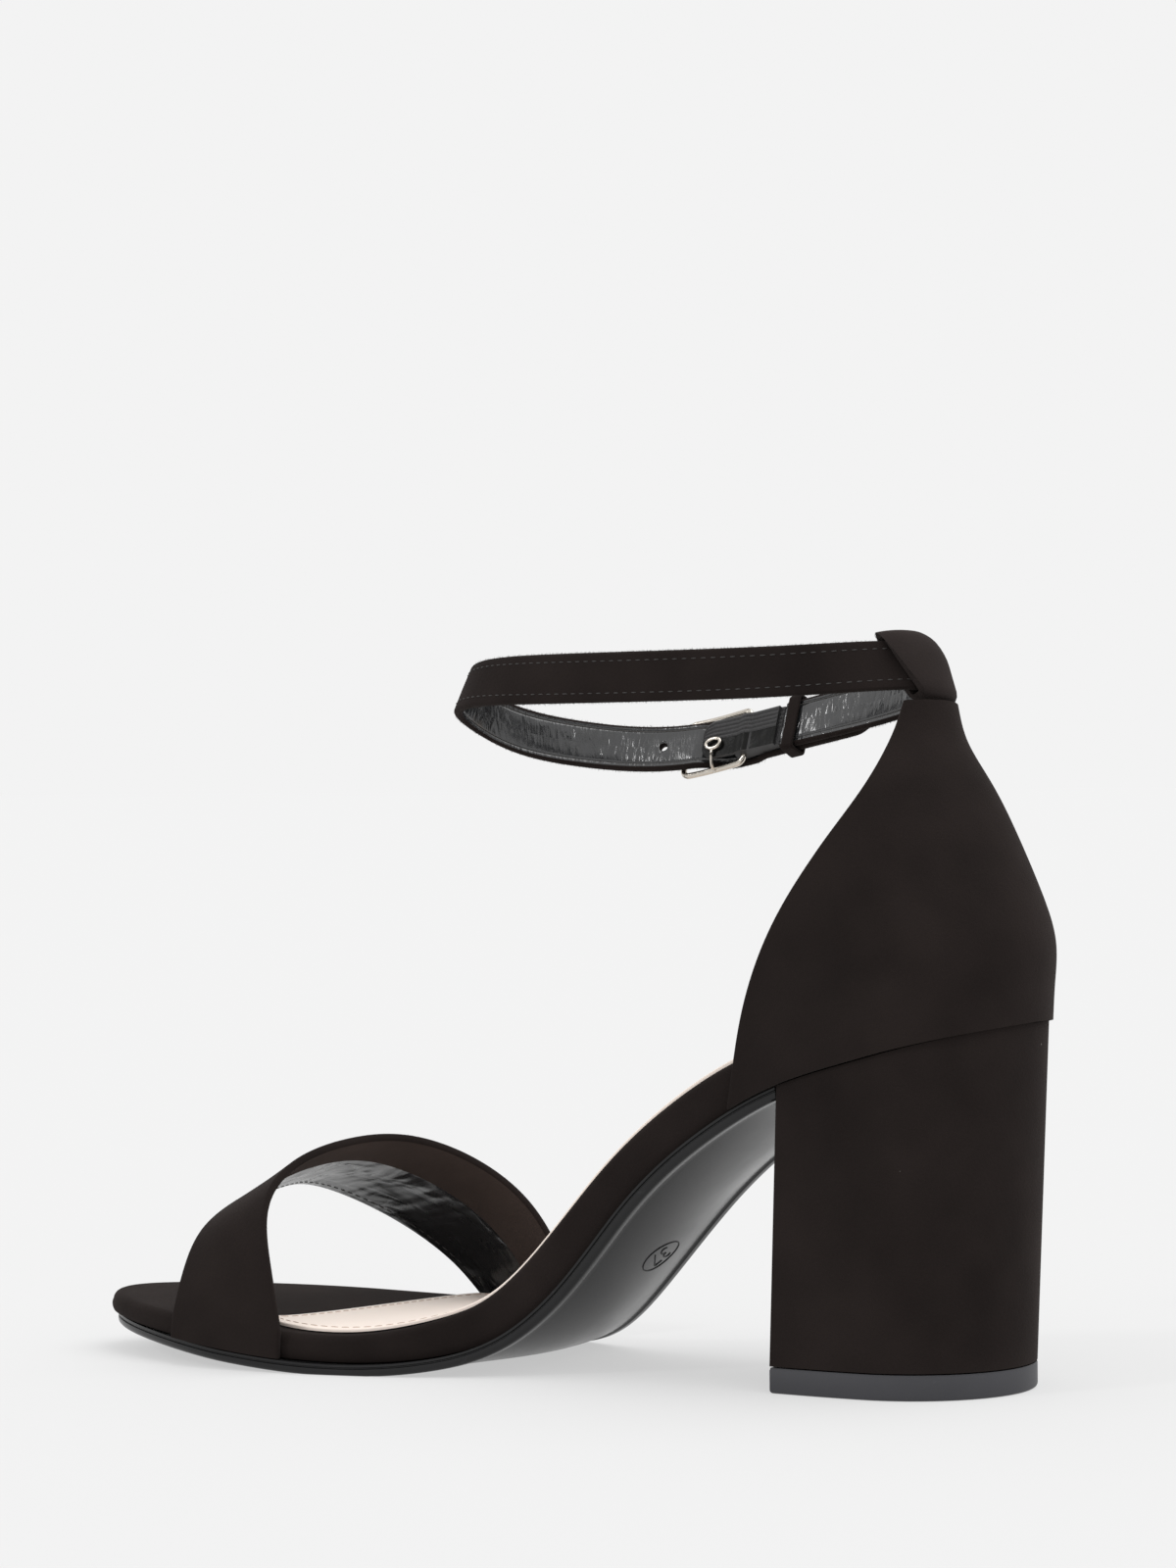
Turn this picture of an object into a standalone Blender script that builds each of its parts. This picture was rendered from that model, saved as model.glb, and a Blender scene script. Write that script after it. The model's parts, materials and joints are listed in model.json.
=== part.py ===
"""Block heel sandal for a right foot, European size 37, standing on its heel and forefoot.

X runs from the heel to the toe, Y to the inner (medial) side of the foot and Z up. The origin is on the
heel's ground face. Lengths are in metres.
"""

import math

import bmesh
import bpy
import numpy as np
from mathutils import Vector

MM = 0.001

# Driving sizes of the footbed and the soles.
SHOE_LENGTH = 225 * MM  # footbed from its heel end to its toe tip, along the floor
HEEL_END = -30 * MM  # X of the footbed's heel end
SEAT_RISE = 76 * MM  # footbed's underside at the heel end above that at the ball
BALL_HALF = 40 * MM  # half of the footbed's width at the ball
HEEL_ROUND = 27 * MM  # length of the round at the footbed's heel end
TOE_ROUND = 46 * MM  # length of the round at its toe end
TOE_POWER = 2.0  # 2 is an ellipse, more is squarer
WAIST_COVER = 10 * MM  # thickness of the wrapped footbed at the waist
FOOTBED_EDGE = 2.0 * MM  # radius of its upper edge
FOOTBED_TUCK = 0.4 * MM  # how far its lower edge is tucked in
OUTSOLE_WALL = 3.0 * MM
OUTSOLE_RIM = 1.8 * MM  # outsole's edge beyond the footbed's side
OUTSOLE_SETBACK = 2.0 * MM  # outsole's toe tip behind the footbed's
OUTSOLE_BEVEL = 1.2 * MM
OUTSOLE_FLARE = 40 * MM  # length over which the rim grows from nothing at the heel
WAIST_CROWN = 0.7 * MM  # how far the outsole's underside swells at the waist
WAIST_MIDDLE = 55 * MM  # X where it swells most
WAIST_HALF = 45 * MM  # half of the swell's length
SOCK_WALL = 0.8 * MM
SOCK_BEVEL = 0.35 * MM
SOCK_INSET = 3.5 * MM  # sock lining's edge inside the footbed's
SOCK_TIP = 20 * MM  # length of the round at its front end's medial side
SOCK_SWEEP = 20 * MM  # length over which its lateral side sweeps back from the tip
SOCK_TIP_Y = 26 * MM  # the tip's place on the medial side
SOCK_REACH = 0.778  # share of the shoe's length where its front tip lies
UPPER_WALL = 1.8 * MM
COUNTER_WALL = 1.6 * MM
GAP = 0.3 * MM  # between pieces that touch

# The heel block and its top piece.
BREAST_X = 19 * MM  # front face of the heel at its top
LEVEL_BACK = 8 * MM  # the sole's sections stand upright up to here behind the breast
LEVEL_BLEND = 30 * MM  # and lean fully with its slope this much further on
LIFT_THICK = 5.5 * MM
LIFT_BEVEL = 0.8 * MM
HEEL_PROUD = 1.0 * MM  # heel's top edge beyond the footbed's side
HEEL_TAPER_BACK = 3.2 * MM  # how far the back of the block comes forward towards the floor
HEEL_TAPER_FRONT = 2.3 * MM  # how far its breast goes forward towards the floor
HEEL_TAPER_SIDE = 0.8 * MM  # how far each side comes in towards the floor

# The closed back.
COUNTER_HEIGHT = 66.8 * MM  # from the seat's edge at the heel end to the counter's top
COUNTER_FRONT = 76 * MM  # along the side from the back to the counter's front edge, at its foot

# The toe strap: X of its edges at the foot of each side, and how high its edges rise above the footbed.
STRAP_MEDIAL = (163 * MM, 134.5 * MM)  # front and rear edge
STRAP_LATERAL = (127.5 * MM, 99.5 * MM)
STRAP_RISE = (26.8 * MM, 38.1 * MM)
STRAP_SEAT = 0.5 * MM  # how far its foot stands straight above the footbed's edge

# The ankle strap, an oval loop in plan.
ANKLE_LENGTH = 112.5 * MM
ANKLE_WIDTH = 46 * MM
ANKLE_BACK_X = -6.5 * MM
BAND_WIDTH = 11.0 * MM
BAND_THICK = 2.0 * MM
BAND_EDGE = 0.5 * MM  # chamfer of its edges
TONGUE_LENGTH = 33 * MM  # free end beyond the buckle's rear bar
HOLE_RADIUS = 1.0 * MM
HOLE_PITCH = 12.5 * MM

# The heel loop, a sleeve that the ankle strap runs through.
LOOP_LENGTH = 20 * MM
LOOP_SPREAD = 0.25  # share by which its upper edge is longer and its lower edge shorter
LOOP_WALL = 1.9 * MM
LOOP_EASE = 0.5 * MM  # room inside it before and behind the strap
LOOP_SLACK = 0.8 * MM  # room above and below the strap
LOOP_ROUND = 2.5 * MM
LOOP_TAPER = 0.4  # share by which its section thins towards its upper edge
LOOP_STEP = 0.5 * MM  # counter's outer face inside the loop's

# The buckle, on the lateral side.
BUCKLE_TURN = -92.0  # turn of its rear bar about the ankle, in degrees
FRAME_LENGTH = 15.5 * MM  # between the middles of its bars
FRAME_ROUND = 1.6 * MM
BAR_RAMP = 5.2 * MM  # length over which the strap rises to a bar
WIRE_RADIUS = 0.7 * MM
PRONG_RADIUS = 0.5 * MM
PRONG_TIP = 1.2 * MM  # prong's tip beyond the front bar
PRONG_WRAP = 285.0  # degrees that its eye goes round the rear bar
TAB_WALL = 1.2 * MM
TAB_THICK = 1.6 * MM
TAB_LENGTH = 9.3 * MM
TAB_INSET = 0.9 * MM  # tab's edges inside the strap's
TAB_SLOT = 2.2 * MM  # width of the slot for the prong
KEEPER_WALL = 0.7 * MM
KEEPER_LENGTH = 3.0 * MM
KEEPER_BEHIND = 1.2 * MM  # keeper's front edge behind the tab's end

# By station from the heel end to the toe: shares of SHOE_LENGTH and SEAT_RISE, the tilt that lifts the
# medial side, in degrees, and shares of BALL_HALF, BALL_HALF and WAIST_COVER.
SOLE_COLUMNS = ("along", "height", "tilt", "centre", "half_width", "cover")
SOLE_STATIONS = (
    (0.00, 1.000, 0.0, 0.00, 0.66, 0.85),
    (0.08, 0.948, 0.0, 0.00, 0.66, 0.85),
    (0.14, 0.896, 0.5, 0.00, 0.66, 0.86),
    (0.23, 0.797, 2.5, -0.02, 0.64, 0.88),
    (0.31, 0.652, 4.5, -0.04, 0.61, 0.90),
    (0.39, 0.445, 5.0, -0.07, 0.60, 0.93),
    (0.46, 0.200, 4.0, -0.05, 0.61, 0.97),
    (0.51, 0.070, 3.0, -0.04, 0.69, 0.90),
    (0.58, 0.006, 1.2, -0.03, 0.84, 0.77),
    (0.66, -0.004, 0.0, -0.04, 0.97, 0.60),
    (0.74, 0.005, 0.0, 0.00, 0.98, 0.57),
    (0.86, 0.042, 0.0, 0.10, 0.85, 0.49),
    (1.00, 0.085, 0.0, 0.25, 0.66, 0.42),
)
# By height from the counter's foot (0) to its top (1): how far its shape has gone from the footbed's
# outline (0) to the heel loop's (1), and its edge's distance from the back as a share of COUNTER_FRONT.
COUNTER_COLUMNS = ("level", "blend", "reach")
COUNTER_ROWS = (
    (0.00, 0.00, 1.00),
    (0.12, -0.02, 0.985),
    (0.26, -0.03, 0.95),
    (0.40, 0.09, 0.82),
    (0.57, 0.32, 0.59),
    (0.75, 0.63, 0.342),
    (0.88, 0.89, 0.195),
    (1.00, 1.00, 0.13),
)
# Across the toe strap from its medial foot (0) to its lateral foot (1): the place across, of the half
# width, the height, of the edge's own rise, and how far each edge bows forwards, of BALL_HALF.
STRAP_COLUMNS = ("across", "side", "rise", "front_bow", "rear_bow")
STRAP_SECTIONS = (
    (0.00, 1.00, 0.00, 0.00, 0.00),
    (0.12, 0.97, 0.36, 0.05, 0.18),
    (0.22, 0.86, 0.66, 0.09, 0.34),
    (0.32, 0.60, 0.86, 0.13, 0.42),
    (0.47, 0.13, 0.99, 0.25, 0.39),
    (0.60, -0.28, 0.97, 0.38, 0.30),
    (0.72, -0.63, 0.80, 0.37, 0.17),
    (0.83, -0.86, 0.54, 0.24, 0.06),
    (0.93, -0.97, 0.23, 0.08, 0.01),
    (1.00, -1.00, 0.00, 0.00, 0.00),
)
# By turn about the ankle strap's loop in degrees, 0 at the front and 90 at the medial side: height of the
# band's middle above that at the back, of BAND_WIDTH, and the inward tilt of its upper edge in degrees.
ANKLE_COLUMNS = ("turn", "height", "tilt")
ANKLE_TURNS = (
    (0.0, -0.50, 18.0),
    (60.0, -0.11, 8.0),
    (120.0, -0.05, 5.0),
    (180.0, 0.00, 18.0),
    (225.0, -0.53, -8.0),
    (258.0, -1.06, -22.0),
    (285.0, -1.48, -26.0),
    (310.0, -1.39, -20.0),
    (335.0, -1.03, -4.0),
)


# Corners of the ankle strap's chamfered section: outwards or inwards, up or down, and 1 on its face or 0 on
# its edge.
BAND_CORNERS = (
    (1, -1, 1),
    (1, 1, 1),
    (1, 1, 0),
    (-1, 1, 0),
    (-1, 1, 1),
    (-1, -1, 1),
    (-1, -1, 0),
    (1, -1, 0),
)


def natural_spline(knots, values):
    """Returns f(x), the natural cubic spline through the knots, held at its end values outside them."""
    knots, values = np.asarray(knots, float), np.asarray(values, float)
    gaps = np.diff(knots)
    slopes = np.diff(values) / gaps
    system, right = np.eye(len(knots)), np.zeros(len(knots))
    for i in range(1, len(knots) - 1):
        system[i, i - 1 : i + 2] = gaps[i - 1], 2 * (gaps[i - 1] + gaps[i]), gaps[i]
        right[i] = 6 * (slopes[i] - slopes[i - 1])
    bends = np.linalg.solve(system, right)

    def value(x):
        x = np.clip(x, knots[0], knots[-1])
        i = np.clip(np.searchsorted(knots, x) - 1, 0, len(knots) - 2)
        before, after, gap = x - knots[i], knots[i + 1] - x, gaps[i]
        cubic = (bends[i] * after**3 + bends[i + 1] * before**3) / (6 * gap)
        first = (values[i] / gap - bends[i] * gap / 6) * after
        return cubic + first + (values[i + 1] / gap - bends[i + 1] * gap / 6) * before

    return value


def table_splines(columns, rows):
    """One spline for each column but the first, by name, over the first column."""
    data = np.array(rows, float)
    return {name: natural_spline(data[:, 0], data[:, i]) for i, name in enumerate(columns) if i}


SOLE = table_splines(SOLE_COLUMNS, SOLE_STATIONS)
COUNTER = table_splines(COUNTER_COLUMNS, COUNTER_ROWS)
STRAP = table_splines(STRAP_COLUMNS, STRAP_SECTIONS)
ANKLE = table_splines(
    ANKLE_COLUMNS, [(turn + lap * 360, *rest) for lap in (-1, 0, 1) for turn, *rest in ANKLE_TURNS]
)
TOE_END = HEEL_END + SHOE_LENGTH


def sole(column, x):
    """A column of the sole's table at X."""
    return SOLE[column]((np.asarray(x, float) - HEEL_END) / SHOE_LENGTH)


def centre_y(x):
    """Y of the footbed's middle line."""
    return BALL_HALF * sole("centre", x)


def cover(x):
    """Thickness of the footbed."""
    return WAIST_COVER * sole("cover", x)


def seat_z(x, y=None):
    """Height of the footbed's underside, at its middle line or at Y."""
    middle = OUTSOLE_WALL + SEAT_RISE * sole("height", x)
    if y is None:
        return middle
    return middle + (y - centre_y(x)) * np.tan(np.radians(sole("tilt", x)))


def seat_slope(x):
    """Angle of the footbed's underside, taken as level over the heel so that the back stands upright."""
    step = 0.5 * MM
    angle = np.arctan2(seat_z(x + step) - seat_z(x - step), 2 * step)
    share = np.clip((x - BREAST_X + LEVEL_BACK) / LEVEL_BLEND, 0, 1)
    return angle * share * share * (3 - 2 * share)


def on_last(x, y, above):
    """Points above the footbed's underside, square to it at the waist and upright over the heel."""
    x, y, above = np.broadcast_arrays(np.asarray(x, float), y, above)
    slope = seat_slope(x)
    return np.stack([x - np.sin(slope) * above, y, seat_z(x, y) + np.cos(slope) * above], -1)


def round_off(distance, length, power):
    """Share of the full width at a distance from a round end."""
    share = 1 - np.clip(distance / length, 0, 1)
    return np.maximum(1 - share**power, 0) ** (1 / power)


def side_y(x, grow, side, setback=0.0):
    """Y of the footbed's outline at X, grown outwards; side is 1 medial, -1 lateral."""
    heel = round_off(x - HEEL_END + grow, HEEL_ROUND + grow, 2.0)
    toe = round_off(TOE_END - setback + grow - x, TOE_ROUND + grow, TOE_POWER)
    return centre_y(x) + side * (BALL_HALF * sole("half_width", x) + grow) * heel * toe


def stations(start, end, count, round_start=True, round_end=True):
    """X stations that crowd towards each round end and stop just short of it."""
    first = 0.5 / count if round_start else 0.0
    last = 1 - 0.5 / count if round_end else 1.0
    t = np.linspace(first, last, count)
    if round_start and round_end:
        share = (1 - np.cos(math.pi * t)) / 2
    elif round_end:
        share = np.sin(math.pi / 2 * t)
    else:
        share = 1 - np.cos(math.pi / 2 * t)
    return start + (end - start) * share


def linear_material(name, colour, roughness, metallic=0.0):
    """A Principled material with the piece's colour, roughness and metallic value."""
    material = bpy.data.materials.new(name)
    material.use_nodes = True
    shader = material.node_tree.nodes["Principled BSDF"]
    shader.inputs["Base Color"].default_value = (*colour, 1.0)
    shader.inputs["Roughness"].default_value = roughness
    shader.inputs["Metallic"].default_value = metallic
    return material


def add_object(name, points, faces, material, collection, smooth_angle=40):
    """A mesh object from points and faces, with its normals pointing out."""
    mesh = bpy.data.meshes.new(name)
    mesh.from_pydata([tuple(p) for p in points], [], [tuple(int(i) for i in f) for f in faces])
    work = bmesh.new()
    work.from_mesh(mesh)
    bmesh.ops.recalc_face_normals(work, faces=work.faces)
    work.to_mesh(mesh)
    work.free()
    mesh.shade_smooth()
    mesh.set_sharp_from_angle(angle=math.radians(smooth_angle))
    mesh.materials.append(material)
    placed = bpy.data.objects.new(name, mesh)
    collection.objects.link(placed)
    return placed


def grid_faces(rows, columns, closed=False, start=0):
    """Quads of a grid of points stored row by row; closed joins the last column to the first."""
    last = columns if closed else columns - 1
    return [
        (row + c, row + d, row + columns + d, row + columns + c)
        for row in range(start, start + (rows - 1) * columns, columns)
        for c, d in ((c, (c + 1) % columns) for c in range(last))
    ]


def strips(lines):
    """Quads between neighbouring lines of point numbers."""
    return [
        (near[i], near[i + 1], far[i + 1], far[i])
        for near, far in zip(lines, lines[1:])
        for i in range(len(near) - 1)
    ]


def block(name, levels, material, collection, crown=None, columns=4):
    """A closed solid from stacked outlines.

    levels is a list of (medial, lateral) arrays of points by station, from the bottom to the top. crown
    returns how far to shift the bottom's points, from the share across and the points.
    """
    count = len(levels[0][0])
    points, faces, stack = [], [], []
    for number, (medial, lateral) in enumerate(levels):
        capped = number in (0, len(levels) - 1)
        lines = []
        for share in np.linspace(0, 1, columns + 1 if capped else 2):
            line = medial * (1 - share) + lateral * share
            if crown and number == 0:
                line = line + crown(share, line)
                line[:, 2] = np.maximum(line[:, 2], 0)
            lines.append(len(points) * count + np.arange(count))
            points.append(line)
        stack.append(lines)
        if capped:
            faces += strips(lines)
    for low, high in zip(stack, stack[1:]):
        faces += strips([low[0], high[0]]) + strips([low[-1], high[-1]])
        for end in (0, count - 1):
            faces.append((*(line[end] for line in low), *(line[end] for line in high[::-1])))
    return add_object(name, np.concatenate(points), faces, material, collection)


def shell(name, grid, wall, inside, material, collection):
    """A wall grown outwards from a grid of inner points; inside is a point on the hollow side."""
    rows, columns = grid.shape[:2]
    mesh = bpy.data.meshes.new(name)
    mesh.from_pydata([tuple(p) for p in grid.reshape(-1, 3)], [], grid_faces(rows, columns))
    first = mesh.polygons[0]
    if first.normal.dot(first.center - Vector(inside)) < 0:
        mesh.flip_normals()
    mesh.shade_smooth()
    mesh.materials.append(material)
    placed = bpy.data.objects.new(name, mesh)
    collection.objects.link(placed)
    solidify = placed.modifiers.new("wall", "SOLIDIFY")
    solidify.thickness = wall
    solidify.offset = 1.0
    solidify.use_even_offset = True
    solidify.use_rim = True
    return placed


def sole_level(x, grow, above, setback=0.0):
    """A pair of edge lines of the footbed's outline, grown outwards, at a height above its underside."""
    moved = x + grow * (2 * (x - HEEL_END) / SHOE_LENGTH - 1)
    return tuple(on_last(moved, side_y(moved, grow, side, setback), above) for side in (1, -1))


def build_outsole(material, collection):
    """Thin moulded sole from the heel's breast to the toe, flat where it meets the floor."""
    lean = -float(seat_slope(BREAST_X + OUTSOLE_WALL))
    under = (OUTSOLE_WALL + WAIST_CROWN) * math.sin(lean)
    start = BREAST_X + GAP + under + HEEL_TAPER_FRONT * OUTSOLE_WALL / SEAT_RISE
    x = stations(start, TOE_END - OUTSOLE_SETBACK, 38, round_start=False)
    rim = OUTSOLE_RIM * np.clip((x - start) / OUTSOLE_FLARE, 0, 1) * np.clip((TOE_END - x) / TOE_ROUND, 0, 1)

    def level(extra, below):
        lines = sole_level(x, rim + extra, -below, OUTSOLE_SETBACK)
        for line in lines:
            line[:, 2] = np.maximum(line[:, 2], 0)
        return lines

    def swell(share, points):
        away = np.clip(1 - np.abs(points[:, 0] - WAIST_MIDDLE) / WAIST_HALF, 0, 1)
        shift = np.zeros_like(points)
        shift[:, 2] = -WAIST_CROWN * 4 * share * (1 - share) * away * (2 - away)
        return shift

    levels = [level(-OUTSOLE_BEVEL, OUTSOLE_WALL), level(0.0, OUTSOLE_WALL - OUTSOLE_BEVEL), level(0.0, GAP)]
    return block("outsole", levels, material, collection, crown=swell, columns=6)


def build_footbed(material, collection):
    """Insole board and waist padding, wrapped, with a rounded upper edge."""
    x = stations(HEEL_END, TOE_END, 46)
    levels = [sole_level(x, -FOOTBED_TUCK, 0 * x), sole_level(x, 0.0, FOOTBED_TUCK + 0 * x)]
    for turn in (0, 30, 60, 90):
        inset = FOOTBED_EDGE * (1 - math.cos(math.radians(turn)))
        lift = cover(x) - FOOTBED_EDGE * (1 - math.sin(math.radians(turn)))
        levels.append(sole_level(x, -inset, lift))
    return block("footbed", levels, material, collection)


def build_sock_lining(material, collection):
    """Nude insole cover, whose front end sweeps forward to a round tip on the medial side."""
    front = HEEL_END + SOCK_REACH * SHOE_LENGTH
    back = HEEL_END + SOCK_INSET
    x = stations(back, front, 38)
    sweep = np.clip((front - x) / SOCK_SWEEP, 0, 1)
    tips = {1: round_off(front - x, SOCK_TIP, 2.0), -1: sweep * sweep * (3 - 2 * sweep)}
    levels = []
    for inset, lift in ((0.0, 0.0), (0.0, SOCK_WALL - SOCK_BEVEL), (SOCK_BEVEL, SOCK_WALL)):
        moved = x + inset * (1 - 2 * (x - back) / (front - back))
        lines = []
        for side in (1, -1):
            across = (side_y(moved, -SOCK_INSET - inset, side) - SOCK_TIP_Y) * tips[side]
            lines.append(on_last(moved, SOCK_TIP_Y + across, cover(moved) + GAP + lift))
        levels.append(tuple(lines))
    return block("sock_lining", levels, material, collection)


def heel_plan(count, level):
    """Lines (x at the top, x, medial y, lateral y) of the heel; level is 0 at the floor, 1 at the seat."""
    back = HEEL_END - HEEL_PROUD
    x = stations(back, BREAST_X, count, round_end=False)
    down = 1 - level
    narrow = 1 - HEEL_TAPER_SIDE * down / BALL_HALF
    medial, lateral = (side_y(x, HEEL_PROUD, side) * narrow for side in (1, -1))
    share = (x - back) / (BREAST_X - back)
    moved = x + down * (HEEL_TAPER_BACK * (1 - share) + HEEL_TAPER_FRONT * share)
    return x, moved, medial, lateral


def build_heel(material, collection):
    """Covered block heel, round at the back and flat at the breast, with its top on the seat's slope."""
    levels = []
    floor = LIFT_THICK + GAP
    for level in np.linspace(0, 1, 6):
        x, moved, medial, lateral = heel_plan(26, level)
        lines = []
        for y in (medial, lateral):
            z = floor * (1 - level) + (seat_z(x, y) - GAP) * level
            lines.append(np.stack([moved, y, z], -1))
        levels.append(tuple(lines))
    return block("heel", levels, material, collection)


def build_heel_lift(material, collection):
    """Rubber top piece under the heel, with a bevelled ground edge."""
    _, x, medial, lateral = heel_plan(26, 0.0)
    centre_x = (x[0] + x[-1]) / 2
    levels = []
    for inset, z in ((LIFT_BEVEL, 0.0), (0.0, LIFT_BEVEL), (0.0, LIFT_THICK)):
        shrink_x = 1 - 2 * inset / (x[-1] - x[0])
        shrink_y = 1 - inset / medial.max()
        inner_x = centre_x + (x - centre_x) * shrink_x
        levels.append(
            tuple(np.stack([inner_x, y * shrink_y, np.full_like(x, z)], -1) for y in (medial, lateral))
        )
    return block("heel_lift", levels, material, collection)


class AnklePath:
    """The ankle strap's middle line: an oval in plan, measured along from the back to the medial side."""

    def __init__(self):
        turns = np.linspace(540, -540, 2161)
        points = self.plan(turns)
        steps = np.linalg.norm(np.diff(points, axis=0), axis=1)
        run = np.concatenate([[0], np.cumsum(steps)])
        self.turns = turns
        self.run = run - np.interp(0.0, 180 - turns, run)
        self.girth = float(self.at_turn(-180.0) - self.at_turn(180.0))

    def plan(self, turns):
        """X and Y of the oval at a turn in degrees."""
        angle = np.radians(turns)
        x = ANKLE_BACK_X + ANKLE_LENGTH / 2 * (1 + np.cos(angle))
        return np.stack([x, ANKLE_WIDTH / 2 * np.sin(angle)], -1)

    def at_turn(self, turn):
        """Distance along at a turn."""
        return np.interp(-turn, -self.turns, self.run)

    def place(self, along, out=0.0, up=0.0):
        """Points at a distance along, moved out from the ankle and up along the band."""
        along, out, up = np.broadcast_arrays(np.asarray(along, float), out, up)
        turn = np.interp(along, self.run, self.turns)
        angle = np.radians(turn)
        outward = np.stack([ANKLE_WIDTH * np.cos(angle), ANKLE_LENGTH * np.sin(angle), 0 * angle], -1)
        outward /= np.linalg.norm(outward, axis=-1, keepdims=True)
        wrapped = np.mod(turn, 360)
        tilt = np.radians(ANKLE["tilt"](wrapped))[..., None]
        rise = np.array([0.0, 0.0, 1.0])
        upward = rise * np.cos(tilt) - outward * np.sin(tilt)
        face = outward * np.cos(tilt) + rise * np.sin(tilt)
        plan = self.plan(turn)
        z = loop_middle_z() + BAND_WIDTH * ANKLE["height"](wrapped)
        middle = np.concatenate([plan, z[..., None]], -1)
        return middle + out[..., None] * face + up[..., None] * upward


def loop_half():
    """Half of the heel loop's outer height and thickness."""
    return BAND_WIDTH / 2 + LOOP_SLACK + LOOP_WALL, BAND_THICK / 2 + LOOP_EASE + LOOP_WALL


def loop_middle_z():
    """Height of the ankle strap's middle at the back: the loop seats on the counter's top."""
    return float(seat_z(HEEL_END)) + COUNTER_HEIGHT + GAP + loop_half()[0]


def rounded_section(out, up, radius, corner=2):
    """Points round a rounded rectangle, from (low, high) pairs outwards and upwards."""
    points = []
    corners = ((1, 1, 0), (0, 1, 90), (0, 0, 180), (1, 0, 270))
    for i, j, first in corners:
        middle = (out[i] + radius * (1 - 2 * i), up[j] + radius * (1 - 2 * j))
        for turn in np.radians(first + np.linspace(0, 90, corner + 1)):
            points.append((middle[0] + radius * math.cos(turn), middle[1] + radius * math.sin(turn)))
    return np.array(points)


def sleeve(name, path, along, inner, outer, material, collection, spread=0.0):
    """A tube of matching inner and outer sections carried along the ankle strap's path."""
    rings = []
    for section in (outer, inner):
        longer = 1 + spread * section[None, :, 1] / outer[:, 1].max()
        rings.append(path.place(along[:, None] * longer, section[None, :, 0], section[None, :, 1]))
    rows, columns = len(along), len(inner)
    faces = grid_faces(rows, columns, closed=True)
    faces += grid_faces(rows, columns, closed=True, start=rows * columns)
    for row in (0, rows - 1):
        for c in range(columns):
            d = (c + 1) % columns
            low, high = row * columns, (rows + row) * columns
            faces.append((low + c, low + d, high + d, high + c))
    points = np.concatenate([ring.reshape(-1, 3) for ring in rings])
    return add_object(name, points, faces, material, collection)


def build_heel_loop(path, material, collection):
    """Suede sleeve on the counter's top, through which the ankle strap runs."""
    half_up, half_out = loop_half()
    room_up, room_out = half_up - LOOP_WALL, half_out - LOOP_WALL
    inner = rounded_section((-room_out, room_out), (-room_up, room_up), LOOP_EASE)
    outer = rounded_section((-half_out, half_out), (-half_up, half_up), LOOP_ROUND)
    outer[:, 0] *= 1 - LOOP_TAPER * np.clip(outer[:, 1] / half_up, 0, 1) ** 2.5
    along = np.linspace(-LOOP_LENGTH / 2, LOOP_LENGTH / 2, 11)
    return sleeve("heel_loop", path, along, inner, outer, material, collection, LOOP_SPREAD)


def heel_outline(grow):
    """Function from the distance along the footbed's side from the back to (x, y), grown outwards."""
    x = stations(HEEL_END - grow, HEEL_END + COUNTER_FRONT + HEEL_ROUND, 200, round_end=False)
    x_full = np.concatenate([[HEEL_END - grow], x])
    lines = {}
    for side in (1, -1):
        y_full = np.concatenate([[0.0], side_y(x, grow, side)])
        run = np.concatenate([[0], np.cumsum(np.hypot(np.diff(x_full), np.diff(y_full)))])
        lines[side] = (run, y_full)

    def place(distance):
        x_out, y_out = np.zeros_like(distance), np.zeros_like(distance)
        for side, (run, y_full) in lines.items():
            here = distance * side >= 0
            x_out[here] = np.interp(np.abs(distance[here]), run, x_full)
            y_out[here] = np.interp(np.abs(distance[here]), run, y_full)
        return x_out, y_out

    return place


def counter_grid(path, rows=13, columns=33):
    """Points of the closed back's inner face, row by row from its foot to its top."""
    levels = np.linspace(0, 1, rows)[:, None] + np.zeros(columns)
    across = np.linspace(-1, 1, columns)[None, :] + np.zeros((rows, 1))
    distance = across * COUNTER["reach"](levels) * COUNTER_FRONT
    x_foot, y_foot = heel_outline(GAP)(distance)
    z_foot = seat_z(x_foot, y_foot)
    half_up, half_out = loop_half()
    under = half_out - LOOP_STEP - COUNTER_WALL
    top = path.place(distance, under, -half_up - GAP)
    edge = COUNTER["reach"](1.0) * COUNTER_FRONT
    top_z = path.place(np.clip(distance, -edge, edge), under, -half_up - GAP)[..., 2]
    blend = COUNTER["blend"](levels)
    x = (1 - blend) * x_foot + blend * top[..., 0]
    y = (1 - blend) * y_foot + blend * top[..., 1]
    return np.stack([x, y, z_foot + levels * (top_z - z_foot)], -1)


def build_counter(path, material, collection):
    """Closed back: one curved wall round the heel, cut away to a narrow strip at the top."""
    return shell("counter", counter_grid(path), COUNTER_WALL, (0, 0, 100 * MM), material, collection)


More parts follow.
